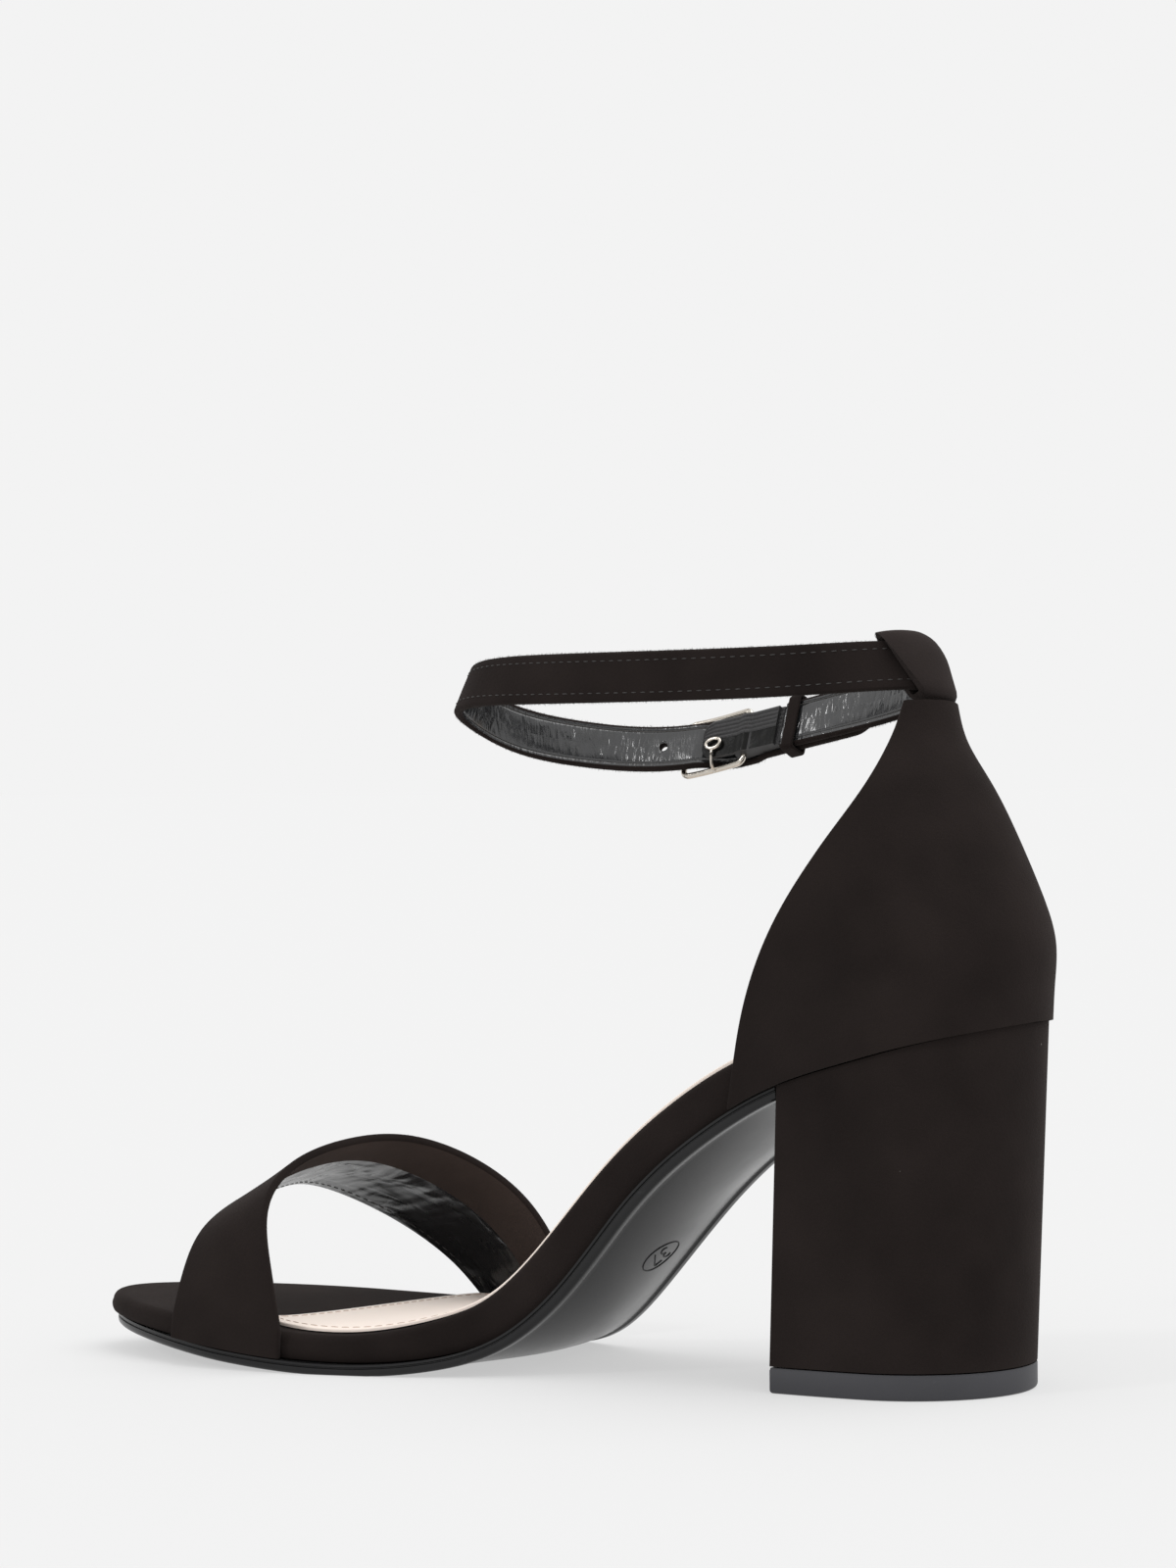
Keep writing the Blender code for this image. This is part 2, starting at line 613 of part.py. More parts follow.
def toe_strap_grid(rows=9, columns=33):
    """Points of the toe strap's inner face, row by row from its front edge to its rear edge."""
    across = np.linspace(0, 1, columns)
    grid = np.zeros((rows, columns + 2, 3))
    for r, t in enumerate(np.linspace(0, 1, rows)):
        feet = {}
        for side, (front, rear) in ((1, STRAP_MEDIAL), (-1, STRAP_LATERAL)):
            x = front + (rear - front) * t
            y = float(side_y(x, GAP, side))
            feet[side] = [on_last(x, y, above) for above in (0.0, float(cover(x)) + STRAP_SEAT)]
        medial, lateral = feet[1][1], feet[-1][1]
        line = medial * (1 - across[:, None]) + lateral * across[:, None]
        bow = STRAP["front_bow"](across) * (1 - t) + STRAP["rear_bow"](across) * t
        line[:, 0] += BALL_HALF * bow
        line[:, 1] = (medial[1] + lateral[1]) / 2 + (medial[1] - lateral[1]) / 2 * STRAP["side"](across)
        line[:, 2] += (STRAP_RISE[0] + (STRAP_RISE[1] - STRAP_RISE[0]) * t) * STRAP["rise"](across)
        grid[r] = np.concatenate([feet[1][:1], line, feet[-1][:1]])
    return grid


def build_toe_strap(material, collection):
    """Wide band over the toes, from the outsole's rim on one side to that on the other."""
    return shell("toe_strap", toe_strap_grid(), UPPER_WALL, (140 * MM, 0, 0), material, collection)


def over_bar():
    """Height of the strap's middle over the buckle's rear bar, which the tab wraps."""
    return WIRE_RADIUS + TAB_WALL + 2 * GAP + BAND_THICK / 2


def free_out():
    """How far out the middle of the strap's free end lies, over its sewn end."""
    return BAND_THICK + GAP


def band_out(beyond):
    """How far out the strap's middle rides, by the distance beyond the buckle's rear bar."""
    knots = (-FRAME_LENGTH + BAR_RAMP / 2, -BAR_RAMP / 2, BAR_RAMP / 4, BAR_RAMP)
    values = (0.0, over_bar(), over_bar(), free_out())
    i = np.clip(np.searchsorted(knots, beyond) - 1, 0, len(knots) - 2)
    low, high = np.take(knots, i), np.take(knots, i + 1)
    share = np.clip((beyond - low) / (high - low), 0, 1)
    share = share * share * (3 - 2 * share)
    return np.take(values, i) * (1 - share) + np.take(values, i + 1) * share


def prong_line():
    """(along, out) of the prong's ends, over the rear bar and over the front bar, from the rear bar."""
    wrap = WIRE_RADIUS + GAP + PRONG_RADIUS
    return (0.0, wrap), (-FRAME_LENGTH - PRONG_TIP, front_bar_out() + wrap)


def front_bar_out():
    """How far out the front bar's middle lies: the strap passes inside it."""
    return BAND_THICK / 2 + GAP + WIRE_RADIUS


def add_cutter(name, start, end, radius, collection):
    """A round cutter between two points, left out of renders."""
    start, end = Vector(start), Vector(end)
    work = bmesh.new()
    bmesh.ops.create_cone(
        work, cap_ends=True, segments=12, radius1=radius, radius2=radius, depth=(end - start).length
    )
    mesh = bpy.data.meshes.new(name)
    work.to_mesh(mesh)
    work.free()
    cutter = bpy.data.objects.new(name, mesh)
    cutter.matrix_world = (end - start).to_track_quat("Z", "Y").to_matrix().to_4x4()
    cutter.location = (start + end) / 2
    cutter.hide_render = True
    cutter.display_type = "WIRE"
    collection.objects.link(cutter)
    return cutter


def cut(target, cutter):
    """Takes a cutter's shape out of an object."""
    modifier = target.modifiers.new(cutter.name, "BOOLEAN")
    modifier.operation = "DIFFERENCE"
    modifier.object = cutter


def build_ankle_strap(path, material, collection, cutters):
    """Narrow band from the buckle's tab through the heel loop, round the ankle and through the buckle."""
    bar = float(path.at_turn(BUCKLE_TURN))
    start = bar + TAB_LENGTH + GAP - path.girth
    end = bar + TONGUE_LENGTH
    round_start = end - BAND_WIDTH / 2
    tip = stations(round_start, end, 8, round_start=False)
    along = np.concatenate([np.linspace(start, round_start, 104), tip[1:]])
    width = BAND_WIDTH / 2 * round_off(end - along, BAND_WIDTH / 2, 2.0)
    out = band_out(along - bar)
    edge = np.minimum(BAND_EDGE, width / 2)
    rings = []
    for outward, upward, on_face in BAND_CORNERS:
        face = out + outward * (BAND_THICK / 2 - edge * (1 - on_face))
        rings.append(path.place(along, face, upward * (width - edge * on_face)))
    points = np.stack(rings, 1)
    count = len(rings)
    faces = grid_faces(len(along), count, closed=True)
    faces += [tuple(range(count)), tuple((len(along) - 1) * count + i for i in range(count))]
    strap = add_object("ankle_strap", points.reshape(-1, 3), faces, material, collection)
    for label, step in (("hole_before", -1), ("hole_after", 1), ("hole_last", 2)):
        spot = -FRAME_LENGTH / 2 + step * HOLE_PITCH
        middle = float(band_out(np.array(spot)))
        ends = [path.place(bar + spot, middle + side * BAND_THICK) for side in (-1, 1)]
        if spot > 0:
            ends[0] = path.place(bar + spot, middle - (BAND_THICK + GAP) / 2)
        cut(strap, add_cutter(label, *ends, HOLE_RADIUS, cutters))
    low, high = (path.place(bar + along_at, out_at) for along_at, out_at in prong_line())
    cut(strap, add_cutter("prong_hole", low, high, PRONG_RADIUS + 2 * GAP, cutters))
    return strap


def build_buckle_frame(path, material, collection):
    """Rounded rectangle of wire; the strap passes inside its front bar and over its rear bar."""
    bar = float(path.at_turn(BUCKLE_TURN))
    half_up = BAND_WIDTH / 2 + GAP + WIRE_RADIUS
    outline = rounded_section((-FRAME_LENGTH, 0.0), (-half_up, half_up), FRAME_ROUND, corner=4)
    share = -outline[:, 0] / FRAME_LENGTH
    points = path.place(bar + outline[:, 0], front_bar_out() * share, outline[:, 1])
    return add_wire("buckle_frame", points, WIRE_RADIUS, material, collection, closed=True)


def add_wire(name, points, radius, material, collection, closed=False):
    """A round wire through points, capped where it is open."""
    curve = bpy.data.curves.new(name, "CURVE")
    curve.dimensions = "3D"
    curve.bevel_depth = radius
    curve.bevel_resolution = 2
    curve.use_fill_caps = not closed
    spline = curve.splines.new("POLY")
    spline.points.add(len(points) - 1)
    for point, place in zip(spline.points, points):
        point.co = (*place, 1.0)
    spline.use_cyclic_u = closed
    spline.use_smooth = True
    curve.materials.append(material)
    placed = bpy.data.objects.new(name, curve)
    collection.objects.link(placed)
    return placed


def build_buckle_prong(path, material, collection):
    """Pin bent round the rear bar and resting on the front bar."""
    bar = float(path.at_turn(BUCKLE_TURN))
    (_, wrap), (tip_along, tip_out) = prong_line()
    turns = np.radians(90 + np.linspace(PRONG_WRAP, 0, 16))
    along = np.concatenate([-wrap * np.cos(turns), np.linspace(0, tip_along, 7)[1:]])
    out = np.concatenate([wrap * np.sin(turns), np.linspace(wrap, tip_out, 7)[1:]])
    return add_wire("buckle_prong", path.place(bar + along, out), PRONG_RADIUS, material, collection)


def build_buckle_tab(path, material, collection, cutters):
    """Elastic strip from the strap's sewn end, folded round the rear bar, with a slot for the prong."""
    bar = float(path.at_turn(BUCKLE_TURN))
    hole = WIRE_RADIUS + GAP
    eye = hole + TAB_WALL
    half = TAB_THICK / 2
    meet = math.asin(half / eye)
    turns = np.linspace(meet, 2 * math.pi - meet, 17)
    outer = [(TAB_LENGTH, -half), (TAB_LENGTH, half)]
    outer += [(eye * math.cos(t), eye * math.sin(t)) for t in turns]
    inner_turns = np.concatenate([[-meet, 0.0], turns])
    inner = np.stack([hole * np.cos(inner_turns), hole * np.sin(inner_turns)], -1)
    outer = np.array(outer)
    count = len(outer)
    rings = []
    half_up = BAND_WIDTH / 2 - TAB_INSET
    for up in (-half_up, half_up):
        for ring in (outer, inner):
            rings.append(path.place(bar + ring[:, 0], ring[:, 1], up))
    faces = []
    for c in range(count):
        d = (c + 1) % count
        for low, high in ((0, 2), (1, 3), (0, 1), (2, 3)):
            faces.append((low * count + c, low * count + d, high * count + d, high * count + c))
    tab = add_object("buckle_tab", np.concatenate(rings), faces, material, collection)
    ends = [path.place(bar, 0.0, side * TAB_SLOT / 2) for side in (-1, 1)]
    cut(tab, add_cutter("prong_slot", *ends, eye + GAP, cutters))
    return tab


def build_keeper(path, material, collection):
    """Narrow band that holds the strap's free end against its sewn end."""
    bar = float(path.at_turn(BUCKLE_TURN))
    start = bar + TAB_LENGTH + KEEPER_BEHIND
    out = (-BAND_THICK / 2 - GAP, free_out() + BAND_THICK / 2 + GAP)
    up = (-BAND_WIDTH / 2 - GAP, BAND_WIDTH / 2 + GAP)
    inner = rounded_section(out, up, BAND_EDGE / 2)
    outer_out = (out[0] - KEEPER_WALL, out[1] + KEEPER_WALL)
    outer_up = (up[0] - KEEPER_WALL, up[1] + KEEPER_WALL)
    outer = rounded_section(outer_out, outer_up, BAND_EDGE / 2 + KEEPER_WALL)
    along = np.linspace(start, start + KEEPER_LENGTH, 3)
    return sleeve("keeper", path, along, inner, outer, material, collection)


def main():
    """Builds every piece in an emptied scene."""
    for old in list(bpy.data.objects):
        bpy.data.objects.remove(old)
    collection = bpy.data.collections.new("block_heel_sandal")
    cutters = bpy.data.collections.new("cutters")
    bpy.context.scene.collection.children.link(collection)
    bpy.context.scene.collection.children.link(cutters)
    suede = linear_material("black_suede", (0.012, 0.011, 0.011), 0.95)
    nude = linear_material("nude_lining", (0.80, 0.62, 0.54), 0.5)
    rubber = linear_material("black_rubber", (0.02, 0.021, 0.024), 0.45)
    elastic = linear_material("black_elastic", (0.02, 0.02, 0.02), 0.8)
    metal = linear_material("buckle_metal", (0.75, 0.72, 0.67), 0.2, metallic=1.0)
    path = AnklePath()
    build_outsole(rubber, collection)
    build_footbed(suede, collection)
    build_sock_lining(nude, collection)
    build_heel(suede, collection)
    build_heel_lift(rubber, collection)
    build_counter(path, suede, collection)
    build_heel_loop(path, suede, collection)
    build_toe_strap(suede, collection)
    build_ankle_strap(path, suede, collection, cutters)
    build_keeper(path, suede, collection)
    build_buckle_tab(path, elastic, collection, cutters)
    build_buckle_frame(path, metal, collection)
    build_buckle_prong(path, metal, collection)


main()
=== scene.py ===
"""Looks of a block heel sandal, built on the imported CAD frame.

Every surface is a function of two parameters, worked out with numpy in metres, in the frame of the CAD:
X from the heel to the toe, Y to the inner (medial) side and Z up.
"""

from __future__ import annotations

import json
import logging
import math
from dataclasses import dataclass, field
from enum import Enum
from typing import Any, Callable

import bmesh
import bpy
import numpy as np
from mathutils import Matrix, Vector

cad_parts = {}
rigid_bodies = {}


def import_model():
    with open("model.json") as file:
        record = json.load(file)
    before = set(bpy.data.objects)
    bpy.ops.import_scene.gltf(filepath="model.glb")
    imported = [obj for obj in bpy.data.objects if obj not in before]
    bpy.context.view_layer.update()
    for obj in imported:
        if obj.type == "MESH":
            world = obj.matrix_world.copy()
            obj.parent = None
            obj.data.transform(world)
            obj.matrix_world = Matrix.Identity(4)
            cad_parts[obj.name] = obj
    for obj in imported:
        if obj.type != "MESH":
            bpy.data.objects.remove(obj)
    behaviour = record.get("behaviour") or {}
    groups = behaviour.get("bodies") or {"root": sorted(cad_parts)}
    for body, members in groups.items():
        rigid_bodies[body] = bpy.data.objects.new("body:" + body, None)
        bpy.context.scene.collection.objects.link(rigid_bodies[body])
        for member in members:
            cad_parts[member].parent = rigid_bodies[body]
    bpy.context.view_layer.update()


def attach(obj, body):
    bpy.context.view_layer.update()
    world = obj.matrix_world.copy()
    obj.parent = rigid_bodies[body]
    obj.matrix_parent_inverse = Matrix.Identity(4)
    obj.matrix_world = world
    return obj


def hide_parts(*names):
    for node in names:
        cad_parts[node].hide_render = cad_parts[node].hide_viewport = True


Array = np.ndarray
Object = bpy.types.Object
Material = bpy.types.Material
Pair = tuple[float, float]
Triple = tuple[float, float, float]
Lines = tuple[Array, Array]
LOG = logging.getLogger("sandal")
MM = 0.001
GAP = 0.3 * MM


class Side(Enum):
    """Inner or outer side of the foot, with the sign of its Y."""

    MEDIAL = 1
    LATERAL = -1


class Slot(Enum):
    """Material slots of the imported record."""

    SUEDE = "black_suede"
    NUDE = "nude_lining"
    RUBBER = "black_rubber"
    ELASTIC = "black_elastic"
    METAL = "buckle_metal"


# Curves.


class Spline:
    """Natural cubic spline through knots, held at its end values outside them."""

    def __init__(self, knots: Array, values: Array) -> None:
        """Solves for the second derivatives, which change evenly between the knots.

        Args:
            knots: Rising positions.
            values: Value at each knot.
        """
        self.knots, self.values = np.asarray(knots, float), np.asarray(values, float)
        gaps = np.diff(self.knots)
        slopes = np.diff(self.values) / gaps
        count = len(self.knots)
        system, right = np.eye(count), np.zeros(count)
        inner = np.arange(1, count - 1)
        system[inner, inner - 1] = gaps[:-1]
        system[inner, inner] = 2 * (gaps[:-1] + gaps[1:])
        system[inner, inner + 1] = gaps[1:]
        right[inner] = 6 * np.diff(slopes)
        self.bends = np.linalg.solve(system, right)

    def __call__(self, x: Array) -> Array:
        """Value at x: the cubic of its span, from the two knots' values and second derivatives.

        Args:
            x: Positions, of any shape.

        Returns:
            Values of the same shape.
        """
        x = np.clip(x, self.knots[0], self.knots[-1])
        i = np.clip(np.searchsorted(self.knots, x) - 1, 0, len(self.knots) - 2)
        before, after = x - self.knots[i], self.knots[i + 1] - x
        gap = self.knots[i + 1] - self.knots[i]
        cubic = (self.bends[i] * after**3 + self.bends[i + 1] * before**3) / (6 * gap)
        first = (self.values[i] / gap - self.bends[i] * gap / 6) * after
        return cubic + first + (self.values[i + 1] / gap - self.bends[i + 1] * gap / 6) * before


def spline_table(columns: tuple[str, ...], rows: tuple[tuple[float, ...], ...]) -> dict[str, Spline]:
    """One spline by name for each column of a table but the first, over the first."""
    data = np.array(rows, float)
    return {name: Spline(data[:, 0], data[:, i]) for i, name in enumerate(columns) if i}


def unit(vectors: Array) -> Array:
    """Vectors divided by their lengths."""
    return vectors / np.maximum(np.linalg.norm(vectors, axis=-1, keepdims=True), 1e-12)


def smooth(share: Array) -> Array:
    """Eased share: 3 s squared minus 2 s cubed, held to 0 and 1."""
    share = np.clip(share, 0, 1)
    return share * share * (3 - 2 * share)


def round_off(distance: Array, length: float) -> Array:
    """Share of the full width at a distance from a round end of a length: a quarter of an ellipse."""
    share = 1 - np.clip(distance / length, 0, 1)
    return np.sqrt(np.maximum(1 - share * share, 0))


def run_length(points: Array) -> Array:
    """Distance run along a line of points, from 0 at its first."""
    return np.concatenate([[0.0], np.cumsum(np.linalg.norm(np.diff(points, axis=0), axis=-1))])


def arc(middle: Any, half: Pair, start: float, end: float, count: int) -> Array:
    """Points (count, 2) of an ellipse about a middle, on two half axes, between angles in degrees."""
    turn = np.radians(np.linspace(start, end, count))
    return np.asarray(middle) + np.stack([half[0] * np.cos(turn), half[1] * np.sin(turn)], -1)


def quarter(radius: float, steps: int) -> Array:
    """Inset and drop (steps + 1, 2) along a round edge: a quarter circle from its side up to its top."""
    return np.array([radius, radius]) - arc((0, 0), (radius, radius), 0, 90, steps + 1)


def follow(at: Array, run: Array, values: Array) -> Array:
    """Values (count, axes) at distances along a line, read off evenly between its points' own."""
    return np.stack([np.interp(at, run, column) for column in values.T], -1)


def evenly(line: Array, pitch: float) -> Lines:
    """Places along a line at an even pitch, with the line's direction at each.

    Args:
        line: Points (count, 3).
        pitch: Distance between places.

    Returns:
        Places and directions, each (count, 3).
    """
    run = run_length(line)
    at = np.arange(pitch / 2, run[-1], pitch)
    step = pitch / 4
    return follow(at, run, line), unit(follow(at + step, run, line) - follow(at - step, run, line))


# Meshes.


@dataclass(frozen=True)
class Seam:
    """Sizes of a row of stitches.

    Attributes:
        pitch: Distance between stitches.
        length: Length of a stitch.
        radius: Radius of the thread.
    """

    pitch: float
    length: float
    radius: float


class Surface:
    """Grids of points that meet along their borders, merged into one mesh."""

    def __init__(self, name: str) -> None:
        """Starts an empty piece.

        Args:
            name: Name of the object to be made.
        """
        self.name = name
        self.points: list[Array] = []
        self.faces: list[Any] = []
        self.slots: list[int] = []
        self.uvs: list[Array] = []
        self.total = 0

    def add_points(self, points: Array, uv: Array | None) -> Array:
        """Stores points and returns their numbers.

        Args:
            points: Array whose last axis is X, Y, Z.
            uv: Place on the surface in metres for each point, or None.

        Returns:
            Array of point numbers with the points' leading shape.
        """
        shape = points.shape[:-1]
        index = self.total + np.arange(int(np.prod(shape))).reshape(shape)
        self.points.append(points.reshape(-1, 3))
        self.uvs.append(np.zeros((index.size, 2)) if uv is None else uv.reshape(-1, 2))
        self.total += index.size
        return index

    def grid(self, points: Array, slot: int = 0, uv: Array | None = None) -> None:
        """Adds the quads between neighbours of the last two grid axes; any axis before those is a copy.

        Args:
            points: Array (..., rows, columns, 3).
            slot: Number of the material.
            uv: Array (..., rows, columns, 2) or None.
        """
        i = self.add_points(points, uv)
        corners = [i[..., :-1, :-1], i[..., :-1, 1:], i[..., 1:, 1:], i[..., 1:, :-1]]
        quads = np.stack(corners, -1).reshape(-1, 4)
        self.faces += list(quads)
        self.slots += [slot] * len(quads)

    def banded(self, points: Array, slots: Array, uv: Array | None = None) -> None:
        """Adds a grid whose columns change material.

        Args:
            points: Array (rows, columns, 3).
            slots: Material of each step between columns.
            uv: Array (rows, columns, 2) or None.
        """
        edges = np.concatenate([[0], np.flatnonzero(np.diff(slots)) + 1, [len(slots)]])
        for first, last in zip(edges[:-1], edges[1:]):
            span = slice(first, last + 1)
            self.grid(points[:, span], int(slots[first]), None if uv is None else uv[:, span])

    def cap(self, ring: Array) -> None:
        """Adds one flat face of the first material through a ring of points (count, 3)."""
        self.faces.append(self.add_points(ring, None))
        self.slots.append(0)

    def tube(self, line: Array, radius: float, closed: bool = False, sides: int = 12) -> None:
        """Adds a round wire: at each point of the line, a circle square to the line's direction.

        The circle's first direction is square to the line and to one slanted direction that all share.

        Args:
            line: Array (count, 3).
            radius: Radius of the wire.
            closed: Whether the line joins its own start.
            sides: Points round the circle.
        """
        ahead = np.roll(line, -1, 0) - np.roll(line, 1, 0)
        if not closed:
            ahead[0], ahead[-1] = line[1] - line[0], line[-1] - line[-2]
        ahead = unit(ahead)
        first = unit(np.cross(ahead, unit(np.ptp(line, axis=0) * np.array([1.0, -1.0, 0.3]) + 1e-6)))
        second = np.cross(ahead, first)
        turn = np.linspace(0, 2 * math.pi, sides + 1)[None, :, None]
        rings = line[:, None] + radius * (first[:, None] * np.cos(turn) + second[:, None] * np.sin(turn))
        if closed:
            rings = np.concatenate([rings, rings[:1]])
        self.grid(rings)
        if not closed:
            self.cap(rings[0, :-1])
            self.cap(rings[-1, :-1])

    def stitches(self, places: Array, along: Array, normals: Array, seam: Seam, slot: int) -> None:
        """Adds one small capsule at each place, lying along the seam and half sunk in the surface.

        Its radius at a share s of its half length is the square root of 1 minus s to the fourth.

        Args:
            places: Array (count, 3) of middles on the surface.
            along: Array (count, 3) of directions along the seam.
            normals: Array (count, 3) of directions out of the surface.
            seam: Size of the stitches.
            slot: Number of the material.
        """
        share = np.array([-1.0, -0.8, 0.0, 0.8, 1.0])
        thick = seam.radius * np.sqrt(1 - share**4)
        turn = np.linspace(0, 2 * math.pi, 7)
        along, normals = unit(along), unit(normals)
        across = np.cross(along, normals)
        ring = normals[:, None] * np.cos(turn)[:, None] + across[:, None] * np.sin(turn)[:, None]
        middle = places[:, None] + along[:, None] * (share * seam.length / 2)[:, None]
        self.grid(middle[:, :, None] + ring[:, None] * thick[None, :, None, None], slot)

    def build(self, materials: list[Material], sharp: float = 45.0) -> Object:
        """Merges the borders, turns the faces outwards and makes the object.

        Args:
            materials: Materials by slot number.
            sharp: Angle in degrees past which an edge is drawn sharp.

        Returns:
            The new object, at the origin.
        """
        mesh = bpy.data.meshes.new(self.name)
        mesh.from_pydata(np.concatenate(self.points).tolist(), [], [face.tolist() for face in self.faces])
        mesh.polygons.foreach_set("material_index", np.array(self.slots, np.int32))
        corner = np.zeros(len(mesh.loops), np.int32)
        mesh.loops.foreach_get("vertex_index", corner)
        layer = mesh.uv_layers.new(name="surface")
        layer.data.foreach_set("uv", np.concatenate(self.uvs)[corner].astype(np.float32).ravel())
        work = bmesh.new()
        work.from_mesh(mesh)
        bmesh.ops.remove_doubles(work, verts=work.verts, dist=2e-6)
        bmesh.ops.recalc_face_normals(work, faces=work.faces)
        work.to_mesh(mesh)
        work.free()
        mesh.shade_smooth()
        mesh.set_sharp_from_angle(angle=math.radians(sharp))
        for material in materials:
            mesh.materials.append(material)
        placed = bpy.data.objects.new(self.name, mesh)
        bpy.context.scene.collection.objects.link(placed)
        return placed


def block(
    name: str, levels: list[Any], columns: int = 24, swell: Callable[[Array, Array], Array] | None = None
) -> Surface:
    """A solid from stacked outlines: walls between them, and caps that run evenly from side to side.

    Args:
        name: Name of the piece.
        levels: Medial and lateral lines of points (count, 3), from the bottom to the top.
        columns: Quads across the caps.
        swell: Shift of the bottom cap from (share across, points), or None.

    Returns:
        The closed surface.
    """
    surface = Surface(name)
    medial, lateral = np.stack([pair[0] for pair in levels]), np.stack([pair[1] for pair in levels])
    share = np.linspace(0, 1, columns + 1)[:, None, None]
    bottom, top = (medial[i] * (1 - share) + lateral[i] * share for i in (0, -1))
    if swell is not None:
        bottom = bottom + swell(share, bottom)
        bottom[..., 2] = np.maximum(bottom[..., 2], 0)
    for points in (medial, lateral, bottom, top):
        surface.grid(points)
    for end in (0, -1):
        wall = medial[:, end, None] * (1 - share[:, 0]) + lateral[:, end, None] * share[:, 0]
        wall[0], wall[-1] = bottom[:, end], top[:, end]
        surface.grid(wall)
    return surface


def rims(sheet: Array, normals: Array, wall: float) -> list[Lines]:
    """Middle line of a wall's rim and its direction out of the sheet, at the first and the last column."""
    edges = ((0, 1), (-1, -2))
    return [(sheet[:, i] + normals[:, i] * wall / 2, sheet[:, i] - sheet[:, j]) for i, j in edges]


def sheet_wall(
    surface: Surface, sheet: Array, normals: Array, wall: float, lining: Any, bulge: float = 0.5
) -> None:
    """Adds a wall grown from a sheet, with rounded rims along its first and last columns and flat ends.

    A rim's point at angle a is the wall's middle plus half the wall times cos a along the normal, plus
    bulge times half the wall times sin a out of the sheet.

    Args:
        surface: The piece to add to.
        sheet: Inner face (rows, columns, 3).
        normals: Outward unit normals of the same shape.
        wall: Thickness.
        lining: Bands of the inner face across the columns: (share where the band ends, material).
        bulge: How far the rims stand out, of half the wall.
    """
    rows, columns = sheet.shape[:2]
    along = run_length(sheet[:, columns // 2])[:, None] + np.zeros((1, columns))
    across = run_length(sheet[rows // 2])[None, :] + np.zeros((rows, 1))
    uv = np.stack([along, across], -1)
    face = sheet + normals * wall
    surface.grid(face, uv=uv)
    start = 0
    for end_share, slot in lining:
        end = int(round(end_share * (columns - 1)))
        surface.grid(sheet[:, start : end + 1], slot, uv[:, start : end + 1])
        start = end
    turn = np.linspace(0, math.pi, 7)[None, :, None]
    for edge, (middle, out) in zip((0, -1), rims(sheet, normals, wall)):
        arc = np.cos(turn) * normals[:, edge, None] + bulge * np.sin(turn) * unit(out)[:, None]
        ring = middle[:, None] + wall / 2 * arc
        surface.grid(ring)
        for end in (0, -1):
            surface.cap(ring[end])
    for end in (0, -1):
        surface.grid(np.stack([sheet[end], face[end]]))


def grid_normals(sheet: Array, inside: Array) -> Array:
    """Unit normals of a sheet, the cross product of its two directions, turned away from a point.

    Args:
        sheet: Points (rows, columns, 3).
        inside: A point on the hollow side, or one for each row.

    Returns:
        Normals of the same shape.
    """
    down, across = np.gradient(sheet, axis=0), np.gradient(sheet, axis=1)
    normals = unit(np.cross(down, across))
    away = np.sign(np.sum(normals * (sheet - inside), axis=-1, keepdims=True).mean())
    return normals * away


def rounded_section(out: Pair, up: Pair, radius: float, corner: int, straight: int) -> Array:
    """Points round a rounded rectangle: straight sides joined by quarter circles.

    Args:
        out: Lowest and highest place outwards.
        up: Lowest and highest place upwards.
        radius: Radius of the corners.
        corner: Steps in a quarter circle.
        straight: Steps along a side.

    Returns:
        Array (count, 2), closed by its own first point.
    """
    points = []
    for i, j, first in ((1, 1, 0), (0, 1, 90), (0, 0, 180), (1, 0, 270)):
        middle = np.array([out[i] + radius * (1 - 2 * i), up[j] + radius * (1 - 2 * j)])
        points.append(arc(middle, (radius, radius), first, first + 90, corner + 1))
    ring = []
    for here, after in zip(points, points[1:] + points[:1]):
        share = np.linspace(0, 1, straight + 1)[1:-1, None]
        ring += [here, here[-1] * (1 - share) + after[0] * share]
    return np.concatenate(ring + [points[0][:1]])


def add_modifier(piece: Object, kind: str, **settings: Any) -> None:
    """Adds a modifier with its settings.

    Args:
        piece: The object.
        kind: Blender's name for the modifier type.
        **settings: Values by property name.
    """
    modifier = piece.modifiers.new(kind.lower(), kind)
    for name, value in settings.items():
        setattr(modifier, name, value)


def bevel(piece: Object, width: float, segments: int, sharper: float) -> None:
    """Rounds the edges sharper than an angle in degrees, with a width and steps across."""
    limit = {"limit_method": "ANGLE", "angle_limit": math.radians(sharper)}
    add_modifier(piece, "BEVEL", width=width, segments=segments, **limit)


def settle(piece: Object, slot: Slot, *nodes: str) -> Object:
    """Puts a piece on the frame's one body and hides the CAD nodes that it stands for.

    Args:
        piece: The object.
        slot: The record's material slot; not used.
        *nodes: Names of CAD nodes that it replaces.

    Returns:
        The same object.
    """
    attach(piece, "root")
    if nodes:
        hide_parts(*nodes)
    LOG.info("%s: %d faces", piece.name, len(piece.data.polygons))
    return piece


# Finishes.


def rgba(colour: Triple, factor: float = 1.0) -> tuple[float, ...]:
    """A colour times a factor, with full alpha."""
    return (*(factor * value for value in colour), 1)


